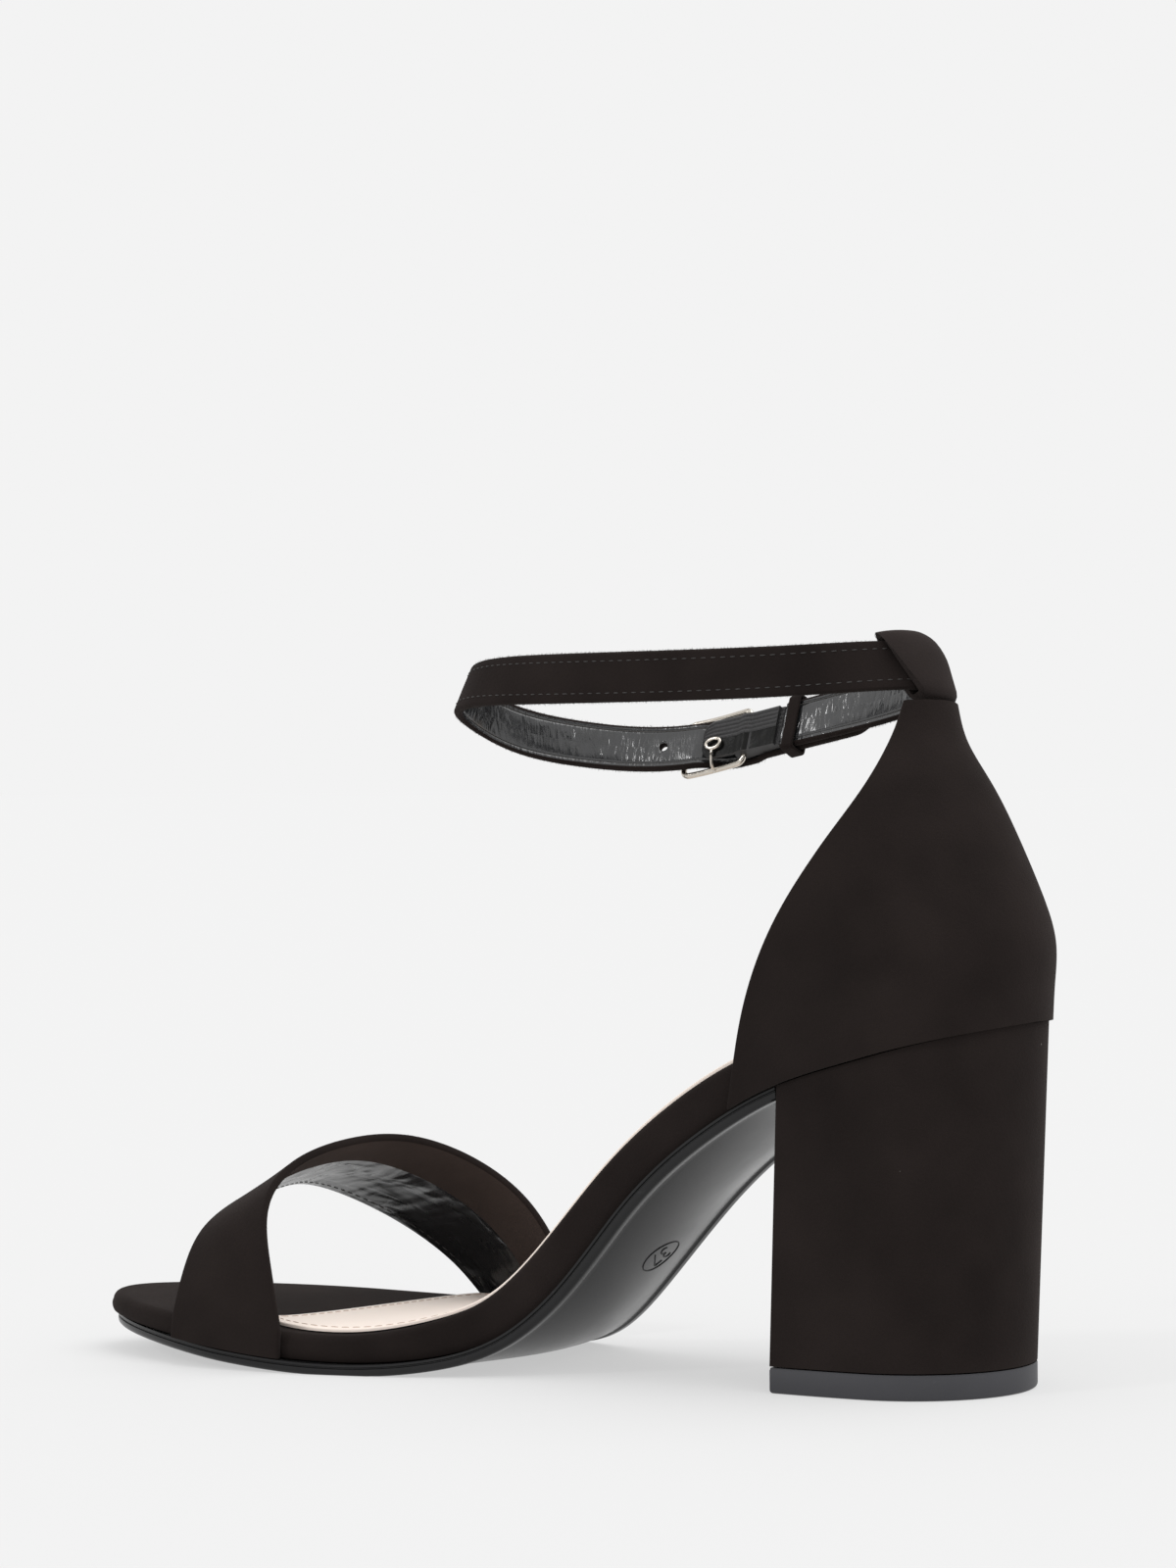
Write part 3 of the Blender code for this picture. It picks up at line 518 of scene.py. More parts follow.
class Shader:
    """A Principled material under construction."""

    def __init__(self, name: str) -> None:
        """Makes the material with its own node tree.

        Args:
            name: Name of the material.
        """
        self.material = bpy.data.materials.new(name)
        self.material.use_nodes = True
        self.tree = self.material.node_tree
        self.base = self.tree.nodes["Principled BSDF"]

    def node(self, kind: str, inputs: dict[Any, Any] | None = None, **settings: Any) -> bpy.types.Node:
        """Adds a node, sets its properties and sets or links its inputs.

        Args:
            kind: Blender's node type, without its ShaderNode prefix.
            inputs: Values or sockets by input name or number.
            **settings: Values by property name.

        Returns:
            The node.
        """
        made = self.tree.nodes.new("ShaderNode" + kind)
        for name, value in settings.items():
            setattr(made, name, value)
        self.put(made, inputs or {})
        return made

    def put(self, target: bpy.types.Node, inputs: dict[Any, Any]) -> None:
        """Sets or links inputs of a node.

        Args:
            target: The node.
            inputs: Values or sockets by input name or number.
        """
        for name, value in inputs.items():
            if isinstance(value, bpy.types.NodeSocket):
                self.tree.links.new(value, target.inputs[name])
            else:
                target.inputs[name].default_value = value

    def finish(self, inputs: dict[str, Any]) -> Material:
        """Sets or links the base's inputs by name and returns the material."""
        self.put(self.base, inputs)
        return self.material

    def place(self, scale: Triple = (1, 1, 1), on_surface: bool = False) -> bpy.types.NodeSocket:
        """Coordinates in metres: the object's own, or the piece's place on its surface.

        Args:
            scale: Factor along each axis.
            on_surface: Whether to read the UV map.

        Returns:
            The vector socket.
        """
        if on_surface:
            source = self.node("UVMap", uv_map="surface").outputs["UV"]
        else:
            source = self.node("TexCoord").outputs["Object"]
        return self.node("Mapping", {"Vector": source, "Scale": scale}).outputs["Vector"]

    def noise(self, vector: Any, scale: float, detail: float = 3.0, rough: float = 0.6) -> Any:
        """Noise value at coordinates times a scale, with its octaves and their share."""
        inputs = {"Vector": vector, "Scale": scale, "Detail": detail, "Roughness": rough}
        return self.node("TexNoise", inputs).outputs["Fac"]

    def between(self, value: Any, low: float, high: float, start: float = 0.0, end: float = 1.0) -> Any:
        """A value carried evenly from low and high to start and end, and held there."""
        inputs = {"Value": value, "From Min": low, "From Max": high, "To Min": start, "To Max": end}
        return self.node("MapRange", inputs, clamp=True).outputs["Result"]

    def blend(self, share: Any, first: Any, second: Any) -> Any:
        """Colour between a first, at share 0, and a second, at share 1."""
        return self.node("Mix", {0: share, 6: first, 7: second}, data_type="RGBA").outputs[2]

    def sum(self, first: Any, second: Any, weight: float = 1.0) -> Any:
        """First value plus weight times the second."""
        return self.node("Math", {0: second, 1: weight, 2: first}, operation="MULTIPLY_ADD").outputs[0]

    def times(self, first: Any, second: Any) -> Any:
        """The product of two sockets."""
        return self.node("Math", {0: first, 1: second}, operation="MULTIPLY").outputs[0]

    def bump(self, height: Any, depth: float, strength: float = 1.0, under: Any = None) -> Any:
        """Normal bent by a height.

        Args:
            height: Socket.
            depth: Distance in metres for a height of 1.
            strength: Share of the effect.
            under: Normal socket of a coarser bump, or None.

        Returns:
            The normal's socket.
        """
        inputs = {"Height": height, "Distance": depth, "Strength": strength}
        if under is not None:
            inputs["Normal"] = under
        return self.node("Bump", inputs).outputs["Normal"]


@dataclass(frozen=True)
class Suede:
    """Black-brown napped microfibre with brushed patches and lint.

    Attributes:
        name: Material name.
        dark: Colour of the nap stroked down.
        light: Colour of the nap stroked up.
        lint: Share of lint specks' cells that hold a speck.
    """

    name: str = "suede"
    dark: Triple = (0.0104, 0.0082, 0.0077)
    light: Triple = (0.0212, 0.0164, 0.0151)
    lint: float = 0.3

    def make(self) -> Material:
        """Makes the material."""
        s = Shader(self.name)
        at = s.place()
        patches = s.noise(at, 42.0, 2.0)
        fibres = s.noise(at, 1500.0, 4.0, 0.7)
        tone = s.sum(s.between(patches, 0.3, 0.7, 0.0, 0.6), fibres, 0.5)
        colour = s.blend(tone, rgba(self.dark), rgba(self.light))
        cells = s.node("TexVoronoi", {"Vector": at, "Scale": 130.0})
        near = s.between(cells.outputs["Distance"], 0.022, 0.032, 1.0, 0.0)
        red = s.node("SeparateColor", {0: cells.outputs["Color"]}).outputs[0]
        chosen = s.between(red, 1 - self.lint, 1.001 - self.lint)
        speck = s.times(near, chosen)
        colour = s.blend(s.between(speck, 0.0, 1.0, 0.0, 0.55), colour, (0.28, 0.27, 0.25, 1))
        rough = s.between(fibres, 0.3, 0.7, 0.82, 1.0)
        coarse = s.bump(s.noise(at, 260.0, 3.0), 0.25 * MM, 0.35)
        normal = s.bump(fibres, 0.18 * MM, 0.6, coarse)
        return s.finish(
            {
                "Base Color": colour,
                "Roughness": rough,
                "Normal": normal,
                "Specular IOR Level": 0.02,
                "Sheen Weight": 0.06,
                "Sheen Roughness": 0.5,
                "Sheen Tint": (0.62, 0.55, 0.53, 1),
            }
        )


@dataclass(frozen=True)
class Rubber:
    """Moulded rubber or plastic, satin, with a faint pebble and cloudy gloss.

    Attributes:
        name: Material name.
        colour: Base colour.
        gloss: Lowest and highest roughness.
        level: Strength of its reflection.
    """

    name: str = "rubber"
    colour: Triple = (0.013, 0.0130, 0.0135)
    gloss: Pair = (0.18, 0.27)
    level: float = 0.25

    def make(self) -> Material:
        """Makes the material."""
        s = Shader(self.name)
        at = s.place()
        cloud = s.noise(at, 60.0, 3.0)
        grain = s.noise(at, 2200.0, 2.0)
        scuff = s.between(s.noise(s.place((60.0, 900.0, 400.0)), 1.0, 4.0), 0.66, 0.8)
        colour = s.blend(cloud, rgba(self.colour, 0.7), rgba(self.colour, 1.3))
        colour = s.blend(s.between(scuff, 0, 1, 0, 0.25), colour, (0.09, 0.092, 0.1, 1))
        normal = s.bump(grain, 0.04 * MM, 0.5)
        rough = s.between(cloud, 0.3, 0.7, *self.gloss)
        level = {"Specular IOR Level": self.level}
        return s.finish({"Base Color": colour, "Roughness": rough, "Normal": normal, **level})


@dataclass(frozen=True)
class WrinkledLining:
    """Glossy coated lining, creased across the strap, with painted shade darkening the creases' hollows.

    Attributes:
        name: Material name.
        colour: Base colour.
        creases: Creases a metre along the strap and across it.
        depth: Depth of a crease.
        gloss: Roughness.
        level: Strength of its reflection.
    """

    name: str = "lining"
    colour: Triple = (0.016, 0.0165, 0.018)
    creases: Pair = (760.0, 170.0)
    depth: float = 0.7 * MM
    gloss: float = 0.17
    level: float = 1.0

    def make(self) -> Material:
        """Makes the material."""
        s = Shader(self.name)
        at = s.place((self.creases[0], self.creases[1], 1.0), on_surface=True)
        inputs = {"Vector": at, "Scale": 1.0, "Detail": 2.0, "Roughness": 0.55, "Distortion": 0.5}
        crease = s.node("TexNoise", inputs).outputs["Fac"]
        broad = s.noise(s.place((90.0, 60.0, 1.0), on_surface=True), 1.0, 2.0)
        amount = s.between(broad, 0.36, 0.62, 0.25, 1.0)
        height = s.times(crease, amount)
        grain = s.noise(s.place(), 2600.0, 2.0)
        coarse = s.bump(height, self.depth, 0.8)
        normal = s.bump(grain, 0.05 * MM, 0.4, coarse)
        # Painted shade: the colour falls to under half in the creases' hollows.
        colour = s.blend(s.between(crease, 0.32, 0.62), rgba(self.colour, 0.45), rgba(self.colour))
        rough = s.between(crease, 0.3, 0.7, self.gloss + 0.12, self.gloss)
        level = {"Specular IOR Level": self.level}
        return s.finish({"Base Color": colour, "Roughness": rough, "Normal": normal, **level})


@dataclass(frozen=True)
class SockLeather:
    """Pale pink-beige synthetic with a fine grain."""

    name: str = "sock"
    colour: Triple = (0.98, 0.86, 0.77)

    def make(self) -> Material:
        """Makes the material."""
        s = Shader(self.name)
        at = s.place()
        cloud = s.noise(at, 45.0, 3.0)
        pores = s.node("TexVoronoi", {"Vector": at, "Scale": 1300.0}).outputs["Distance"]
        colour = s.blend(cloud, rgba(self.colour, 0.88), rgba(self.colour))
        rough = s.between(cloud, 0.3, 0.7, 0.42, 0.56)
        normal = s.bump(pores, 0.05 * MM, 0.35)
        return s.finish({"Base Color": colour, "Roughness": rough, "Normal": normal})


@dataclass(frozen=True)
class Thread:
    """Spun sewing thread: a fine twist along each stitch."""

    name: str = "thread"
    colour: Triple = (0.026, 0.023, 0.022)

    def make(self) -> Material:
        """Makes the material."""
        s = Shader(self.name)
        twist = s.noise(s.place((1.0, 1.0, 1.6)), 3500.0, 1.0)
        colour = s.blend(twist, rgba(self.colour, 0.6), rgba(self.colour, 1.4))
        return s.finish({"Base Color": colour, "Roughness": 0.6, "Normal": s.bump(twist, 0.08 * MM, 0.6)})


@dataclass(frozen=True)
class Elastic:
    """Woven elastic: fine weft threads across its moulded ribs."""

    name: str = "elastic"
    colour: Triple = (0.046, 0.0445, 0.046)

    def make(self) -> Material:
        """Makes the material."""
        s = Shader(self.name)
        inputs = {"Vector": s.place(on_surface=True), "Scale": 900.0, "Distortion": 0.6, "Detail": 1.0}
        weft = s.node("TexWave", inputs, bands_direction="X").outputs["Fac"]
        colour = s.blend(weft, rgba(self.colour, 0.45), rgba(self.colour))
        return s.finish({"Base Color": colour, "Roughness": 0.55, "Normal": s.bump(weft, 0.12 * MM, 0.7)})


@dataclass(frozen=True)
class Metal:
    """Plated, polished wire with light scratches."""

    name: str = "plated"
    colour: Triple = (0.66, 0.61, 0.54)

    def make(self) -> Material:
        """Makes the material."""
        s = Shader(self.name)
        scratch = s.noise(s.place((900.0, 900.0, 120.0)), 1.0, 3.0)
        colour = s.blend(scratch, rgba(self.colour, 0.85), rgba(self.colour))
        rough = s.between(scratch, 0.3, 0.7, 0.12, 0.26)
        return s.finish({"Base Color": colour, "Roughness": rough, "Metallic": 1.0})


def made(look: Any) -> Any:
    """A dataclass field that holds a finish's material."""
    return field(default_factory=look.make)


@dataclass(frozen=True)
class Finishes:
    """The finishes of the shoe, made once and shared by its pieces."""

    suede: Material = made(Suede())
    # Heel loop: the black suede made one and a half times as light, painted light on the loop.
    loop_suede_painted_light: Material = made(
        Suede("loop_suede_painted_light", (0.0155, 0.0124, 0.0118), (0.0300, 0.0240, 0.0225))
    )
    # Turned hem inside the toe strap: the black suede made brown and over twice as light, painted light on
    # the hem.
    hem: Material = made(
        Suede("turned_hem_painted_light", (0.027, 0.0205, 0.0185), (0.048, 0.037, 0.0335), lint=0.1)
    )
    fibre: Material = made(
        Suede("nap_fibre", (0.014, 0.012, 0.0115), (0.035, 0.030, 0.028), lint=0.0)
    )
    lining: Material = made(WrinkledLining())
    toe_lining: Material = made(
        WrinkledLining("toe_lining", (0.013, 0.013, 0.0135), (75.0, 190.0), 1.1 * MM, 0.2, 0.9)
    )
    patch: Material = made(
        WrinkledLining("patch_lining", (0.007, 0.007, 0.0065), (300.0, 200.0), 0.2 * MM, 0.2, 0.15)
    )
    rubber: Material = made(Rubber())
    lift: Material = made(Rubber("lift_rubber", (0.036, 0.036, 0.041), (0.5, 0.62), 0.4))
    # Size mark lines: about half the outsole's colour, painted shade of the moulded grooves.
    mark: Material = made(Rubber("mark_painted_shade_rubber", (0.006, 0.006, 0.007), (0.5, 0.6), 0.3))
    cut_edge: Material = made(Rubber("cut_edge", (0.075, 0.072, 0.068), (0.5, 0.6), 0.4))
    sock: Material = made(SockLeather())
    thread: Material = made(Thread())
    nude_thread: Material = made(Thread("nude_thread", (0.50, 0.36, 0.29)))
    elastic: Material = made(Elastic())
    metal: Material = made(Metal())


@dataclass
class Nap:
    """Loose fibres along the suede's edges, all in one piece."""

    looks: Finishes
    reach: float = 0.6 * MM
    thick: float = 0.035 * MM
    per_metre: float = 15000.0
    draw: np.random.Generator = field(default_factory=lambda: np.random.default_rng(11))
    surface: Surface = field(default_factory=lambda: Surface("nap_fringe"))

    def grow(self, line: Array, outward: Array, spread: float, share: float = 1.0) -> None:
        """Adds fibres along an edge: three-sided needles, leaning at random about the outward direction.

        Args:
            line: Points (count, 3) along the edge.
            outward: Directions (count, 3) out of the sheet.
            spread: Thickness of the edge over which they stand.
            share: Share of the usual length.
        """
        run = run_length(line)
        count = int(run[-1] * self.per_metre)
        at = self.draw.uniform(0, run[-1], count)
        ahead = unit(np.gradient(line, axis=0))
        foot, out, ahead = (follow(at, run, values) for values in (line, unit(outward), ahead))
        out, ahead = unit(out), unit(ahead)
        side = np.cross(ahead, out)
        foot = foot + side * (self.draw.uniform(-0.5, 0.5, count) * spread)[:, None]
        lean = self.draw.normal(0, 0.5, (count, 2))
        length = self.reach * share * self.draw.uniform(0.25, 1.0, count) ** 1.5
        tip = foot + unit(out + ahead * lean[:, :1] + side * lean[:, 1:]) * length[:, None]
        turn = np.linspace(0, 2 * math.pi, 4)[None, :, None]
        base = foot[:, None] + self.thick * (ahead[:, None] * np.cos(turn) + side[:, None] * np.sin(turn))
        self.surface.grid(np.stack([base, tip[:, None] + 0 * base], 1))

    def build(self) -> Object:
        """Makes the one piece of all fibres."""
        return settle(self.surface.build([self.looks.fibre], sharp=180), Slot.SUEDE)


# The last.


@dataclass(frozen=True)
class Last:
    """The foot form that the soles and the uppers follow, with the CAD's own sizes.

    Attributes:
        length: Footbed's length along the floor.
        heel_end: X of its heel end.
        rise: Height of the seat above the ball.
        ball_half: Half of the width at the ball.
        heel_round: Length of the round at the heel.
        toe_round: Length of the round at the toe.
        waist_cover: Thickness of the footbed at the waist.
        sole_wall: Thickness of the outsole.
        breast: X of the heel's front face.
        level_back: Length behind the breast up to which the sections stand upright.
        level_blend: Length over which they come to lean.
    """

    length: float = 225 * MM
    heel_end: float = -30 * MM
    rise: float = 76 * MM
    ball_half: float = 40 * MM
    heel_round: float = 27 * MM
    toe_round: float = 46 * MM
    waist_cover: float = 10 * MM
    sole_wall: float = 3 * MM
    breast: float = 19 * MM
    level_back: float = 8 * MM
    level_blend: float = 30 * MM
    table: dict[str, Spline] = field(
        default_factory=lambda: spline_table(
            ("along", "height", "tilt", "centre", "half_width", "cover"),
            (
                (0.00, 1.000, 0.0, 0.00, 0.66, 0.85),
                (0.08, 0.948, 0.0, 0.00, 0.66, 0.85),
                (0.14, 0.896, 0.5, 0.00, 0.66, 0.86),
                (0.23, 0.797, 2.5, -0.02, 0.64, 0.88),
                (0.31, 0.652, 4.5, -0.04, 0.61, 0.90),
                (0.39, 0.445, 5.0, -0.07, 0.60, 0.93),
                (0.46, 0.200, 4.0, -0.05, 0.61, 0.97),
                (0.51, 0.070, 3.0, -0.04, 0.69, 0.90),
                (0.58, 0.006, 1.2, -0.03, 0.84, 0.77),
                (0.66, -0.004, 0.0, -0.04, 0.97, 0.60),
                (0.74, 0.005, 0.0, 0.00, 0.98, 0.57),
                (0.86, 0.042, 0.0, 0.10, 0.85, 0.49),
                (1.00, 0.085, 0.0, 0.25, 0.66, 0.42),
            ),
        )
    )

    @property
    def toe_end(self) -> float:
        """X of the footbed's toe tip."""
        return self.heel_end + self.length

    def value(self, column: str, x: Array) -> Array:
        """A column of the table at X."""
        return self.table[column]((np.asarray(x, float) - self.heel_end) / self.length)

    def centre(self, x: Array) -> Array:
        """Y of the middle line at X."""
        return self.ball_half * self.value("centre", x)

    def cover(self, x: Array) -> Array:
        """Thickness of the footbed at X."""
        return self.waist_cover * self.value("cover", x)

    def seat(self, x: Array, y: Array | None = None) -> Array:
        """Height of the footbed's underside: the table's height, plus the tilt's slope across.

        Args:
            x: X of the places.
            y: Y of the places, or None for the middle line.

        Returns:
            Heights.
        """
        middle = self.sole_wall + self.rise * self.value("height", x)
        if y is None:
            return middle
        return middle + (y - self.centre(x)) * np.tan(np.radians(self.value("tilt", x)))

    def slope(self, x: Array) -> Array:
        """Lean of the sections: the underside's slope, eased in from none over the heel."""
        step = 0.5 * MM
        angle = np.arctan2(self.seat(x + step) - self.seat(x - step), 2 * step)
        return angle * smooth((x - self.breast + self.level_back) / self.level_blend)

    def place(self, x: Array, y: Array, above: Array) -> Array:
        """Points above the underside, moved along the section's lean.

        Args:
            x: X on the underside.
            y: Y.
            above: Distance above the underside.

        Returns:
            Points with X, Y, Z on the last axis.
        """
        x, y, above = np.broadcast_arrays(np.asarray(x, float), y, above)
        lean = self.slope(x)
        return np.stack([x - np.sin(lean) * above, y, self.seat(x, y) + np.cos(lean) * above], -1)

    def side(self, x: Array, grow: float, side: Side, setback: float = 0.0) -> Array:
        """Y of the outline: the middle line plus the half width times the rounds of both ends.

        Args:
            x: X of the places.
            grow: How far outside the footbed's outline.
            side: Which side.
            setback: How far the toe is set back.

        Returns:
            Y of the places.
        """
        ends = round_off(x - self.heel_end + grow, self.heel_round + grow)
        ends = ends * round_off(self.toe_end - setback + grow - x, self.toe_round + grow)
        return self.centre(x) + side.value * (self.ball_half * self.value("half_width", x) + grow) * ends

    def stations(self, start: float, end: float, count: int, first: bool = True, last: bool = True) -> Array:
        """X places that crowd towards each round end, by a cosine.

        Args:
            start: First place.
            end: Last place.
            count: How many.
            first: Whether the start is round.
            last: Whether the end is round.

        Returns:
            The places.
        """
        t = np.linspace(0, 1, count)
        share = (1 - np.cos(math.pi * t)) / 2
        if not first:
            share = np.sin(math.pi / 2 * t)
        elif not last:
            share = 1 - np.cos(math.pi / 2 * t)
        return start + (end - start) * share

    def level(self, x: Array, grow: Any, above: Any, setback: float = 0.0) -> Lines:
        """Medial and lateral edge lines of the outline, grown outwards, at a height above the underside.

        Args:
            x: Places along the whole footbed.
            grow: How far outside the footbed's outline.
            above: Height above the underside.
            setback: How far the toe is set back.

        Returns:
            The two lines.
        """
        moved = x + grow * (2 * (x - self.heel_end) / self.length - 1)
        lines = [self.place(moved, self.side(moved, grow, side, setback), above) for side in Side]
        return lines[0], lines[1]


# Soles and heel.


@dataclass
class Soles:
    """Wrapped footbed, nude sock lining and moulded outsole."""

    last: Last
    looks: Finishes
    edge: float = 2.0 * MM
    tuck: float = 0.4 * MM
    sock_wall: float = 0.8 * MM
    sock_inset: float = 3.5 * MM
    sock_tip: float = 20 * MM
    sock_sweep: float = 20 * MM
    sock_tip_y: float = 26 * MM
    sock_reach: float = 0.778
    sock_edge: float = 0.35 * MM
    sock_seam: float = 2.2 * MM
    sock_stitch: Seam = Seam(2.6 * MM, 1.9 * MM, 0.16 * MM)
    sock_ball: float = 0.8 * MM
    sock_ball_from: float = 55 * MM
    sock_ball_over: float = 40 * MM
    rim: float = 1.8 * MM
    setback: float = 2.0 * MM
    bevel: float = 1.2 * MM
    groove: float = 0.35 * MM
    flare: float = 40 * MM
    crown: float = 3.4 * MM
    crown_start: float = 0.7 * MM
    crown_middle: float = 55 * MM
    crown_half: float = 45 * MM
    heel_taper: float = 2.3 * MM
    border: float = 2.0 * MM
    border_foot: float = 0.8 * MM
    recess: float = 0.35 * MM
    mark_line: float = 0.2 * MM
    mark_sunk: float = 0.02 * MM
    mark_place: Pair = (64.0 * MM, -5.5 * MM)
    mark_along: Pair = (2.4 * MM, 4.1 * MM)
    mark_up: Pair = (1.4 * MM, -4.7 * MM)

    def footbed(self) -> Object:
        """Builds the footbed: side walls with a slight swell and an upper edge of a quarter circle."""
        last = self.last
        x = last.stations(last.heel_end, last.toe_end, 200)
        levels = [last.level(x, -self.tuck, 0 * x)]
        side = last.cover(x) - self.edge
        for share in np.linspace(0, 1, 6):
            swell = -self.tuck * (1 - 2 * share) ** 2 * 0.5
            levels.append(last.level(x, swell, self.tuck + (side - self.tuck) * share))
        for inset, drop in quarter(self.edge, 6)[1:]:
            levels.append(last.level(x, -0.5 * self.tuck - inset, last.cover(x) - drop))
        piece = block("footbed_wrap", levels).build([self.looks.suede], sharp=60)
        return settle(piece, Slot.SUEDE, "footbed")

    def sock_line(self, x: Array, side: Side, inset: float, above: float) -> Array:
        """Edge line of the sock lining: the footbed's outline set in, drawn to a round tip medially.

        Args:
            x: Places along the lining.
            side: Which side.
            inset: Distance inside its edge.
            above: Height above the footbed's top.

        Returns:
            Points (count, 3).
        """
        back, front = self.sock_ends()
        moved = x + inset * (1 - 2 * (x - back) / (front - back))
        left = front - inset - moved
        tip = round_off(left, self.sock_tip) if side is Side.MEDIAL else smooth(left / self.sock_sweep)
        if side is Side.MEDIAL:
            inset = inset + self.sock_ball * smooth((x - self.sock_ball_from) / self.sock_ball_over)
        across = (self.last.side(moved, -self.sock_inset - inset, side) - self.sock_tip_y) * tip
        return self.last.place(moved, self.sock_tip_y + across, self.last.cover(moved) + above)

    def sock_ends(self) -> Pair:
        """X of the sock lining's back and front."""
        back = self.last.heel_end
        return back + self.sock_inset, back + self.sock_reach * self.last.length

    def sock_lining(self) -> Object:
        """Builds the sock lining, softly domed at its edge, with a row of stitches inside it."""
        back, front = self.sock_ends()
        x = self.last.stations(back, front, 160)
        top = GAP + self.sock_wall
        steps = [(0.0, GAP)] + [(inset, top - drop) for inset, drop in quarter(self.sock_edge, 4)]
        levels = [tuple(self.sock_line(x, side, inset, lift) for side in Side) for inset, lift in steps]
        surface = block("sock_lining_cover", levels)
        fine = self.last.stations(back, front, 1200)
        out = self.sock_line(fine, Side.MEDIAL, self.sock_seam, top)
        home = self.sock_line(fine[::-1], Side.LATERAL, self.sock_seam, top)
        places, along = evenly(np.concatenate([out, home]), self.sock_stitch.pitch)
        normals = np.tile([0.0, 0.0, 1.0], (len(places), 1))
        surface.stitches(places, along, normals, self.sock_stitch, 1)
        piece = surface.build([self.looks.sock, self.looks.nude_thread], sharp=60)
        return settle(piece, Slot.NUDE, "sock_lining")

    def underside(self, share: Array, points: Array) -> Array:
        """Swell of the outsole's underside: a parabola across, fading to each end of the waist.

        Args:
            share: Share across from the medial side.
            points: Points before the swell.

        Returns:
            Shift of the points.
        """
        away = np.clip(1 - np.abs(points[..., 0] - self.crown_middle) / self.crown_half, 0, 1)
        across = 4 * share[..., 0] * (1 - share[..., 0])
        shift = np.zeros_like(points)
        shift[..., 2] = -self.crown * across * away * (2 - away)
        return shift

    def outsole_level(self, x: Array, start: float, extra: float, below: float) -> Lines:
        """Edge lines of the outsole at a depth below the footbed, never below the floor.

        Args:
            x: Places along the outsole.
            start: X of its rear end.
            extra: How far outside its rim.
            below: Depth.

        Returns:
            Medial and lateral line.
        """
        last = self.last
        rim = self.rim * np.clip((x - start) / self.flare, 0, 1)
        rim = rim * np.clip((last.toe_end - x) / last.toe_round, 0, 1)
        lines = last.level(x, rim + extra, -below, self.setback)
        for line in lines:
            line[:, 2] = np.maximum(line[:, 2], 0)
        return lines

    def outsole_start(self) -> float:
        """X of the outsole's rear end, just clear of the heel's breast all the way down."""
        lean = -float(self.last.slope(self.last.breast + self.last.sole_wall))
        under = (self.last.sole_wall + self.crown_start) * math.sin(lean)
        return self.last.breast + GAP + under + self.heel_taper * self.last.sole_wall / self.last.rise

    def outsole(self) -> Object:
        """Builds the outsole, with a rounded lower edge and a groove along its side."""
        last, wall = self.last, self.last.sole_wall
        start = self.outsole_start()
        x = last.stations(start, last.toe_end - self.setback, 200, first=False)
        inside = -self.bevel - self.border
        steps = [
            (inside - self.border_foot, wall - self.recess),
            (inside - 0.35 * MM, wall - self.recess),
            (inside, wall - 0.1 * self.recess),
            (inside + 0.3 * MM, wall),
            (-self.bevel - 0.45 * MM, wall),
            (-self.bevel, wall - 0.02 * MM),
        ]
        steps += [(-drop, wall - inset) for inset, drop in quarter(self.bevel, 3)[1:]]
        middle = (wall - self.bevel + GAP) / 2
        for offset, depth in ((0.25, 0.0), (0.08, 1.0), (-0.08, 1.0), (-0.25, 0.0)):
            steps.append((-self.groove * depth, middle + offset * MM))
        steps.append((0.0, GAP))
        levels = [self.outsole_level(x, start, extra, below) for extra, below in steps]
        piece = block("outsole_rubber", levels, 32, self.underside).build([self.looks.rubber], sharp=50)
        return settle(piece, Slot.RUBBER, "outsole")

    def on_underside(self, x: Array, y: Array, sunk: float) -> Array:
        """Points on the outsole's swelled underside.

        Args:
            x: X on the footbed's underside.
            y: Y.
            sunk: Distance into the rubber.

        Returns:
            Points (..., 3).
        """
        start = self.outsole_start()
        depth = self.last.sole_wall - self.recess
        inside = -self.bevel - self.border - self.border_foot
        medial, lateral = self.outsole_level(x, start, inside, depth)
        low, high = lateral[:, 1], medial[:, 1]
        share = np.clip((high - y) / (high - low), 0, 1)
        points = self.last.place(x, y, sunk - depth)
        return points + self.underside(share[:, None, None], points[:, None])[:, 0]

    def size_mark(self) -> Object:
        """Builds the plain size number in its oval ring, as fine lines moulded in the waist, drawn near-black
        as painted shade of their grooves.

        The ring is an ellipse on two slanted half axes; a digit is a polyline in a box 1 wide and 2 high on
        the same axes.
        """
        surface = Surface("size_mark")
        bows = arc((0.5, 1.5), (0.42, 0.45), 140, -90, 20), arc((0.5, 0.55), (0.46, 0.5), 90, -140, 20)
        corners = np.array([[0.05, 1.95], [0.95, 1.95], [0.35, 0.05]])
        seven = follow(np.linspace(0, 2, 30), np.arange(3), corners)
        ring = arc((0, 0), (1, 1), 0, 360, 73)[:-1]
        shapes = [ring]
        for digit, shift in ((np.concatenate(bows), -0.28), (seven, 0.28)):
            shapes.append((digit - (0.5, 1.0)) * (0.44, 0.58) + (shift, 0))
        for shape in shapes:
            flat = np.array(self.mark_place) + shape @ np.array([self.mark_along, self.mark_up])
            line = self.on_underside(flat[:, 0], flat[:, 1], self.mark_sunk)
            surface.tube(line, self.mark_line, closed=shape is ring, sides=8)
        return settle(surface.build([self.looks.mark]), Slot.RUBBER)

    def build(self) -> None:
        """Builds the three layers and the size mark."""
        for make in (self.footbed, self.sock_lining, self.outsole, self.size_mark):
            make()


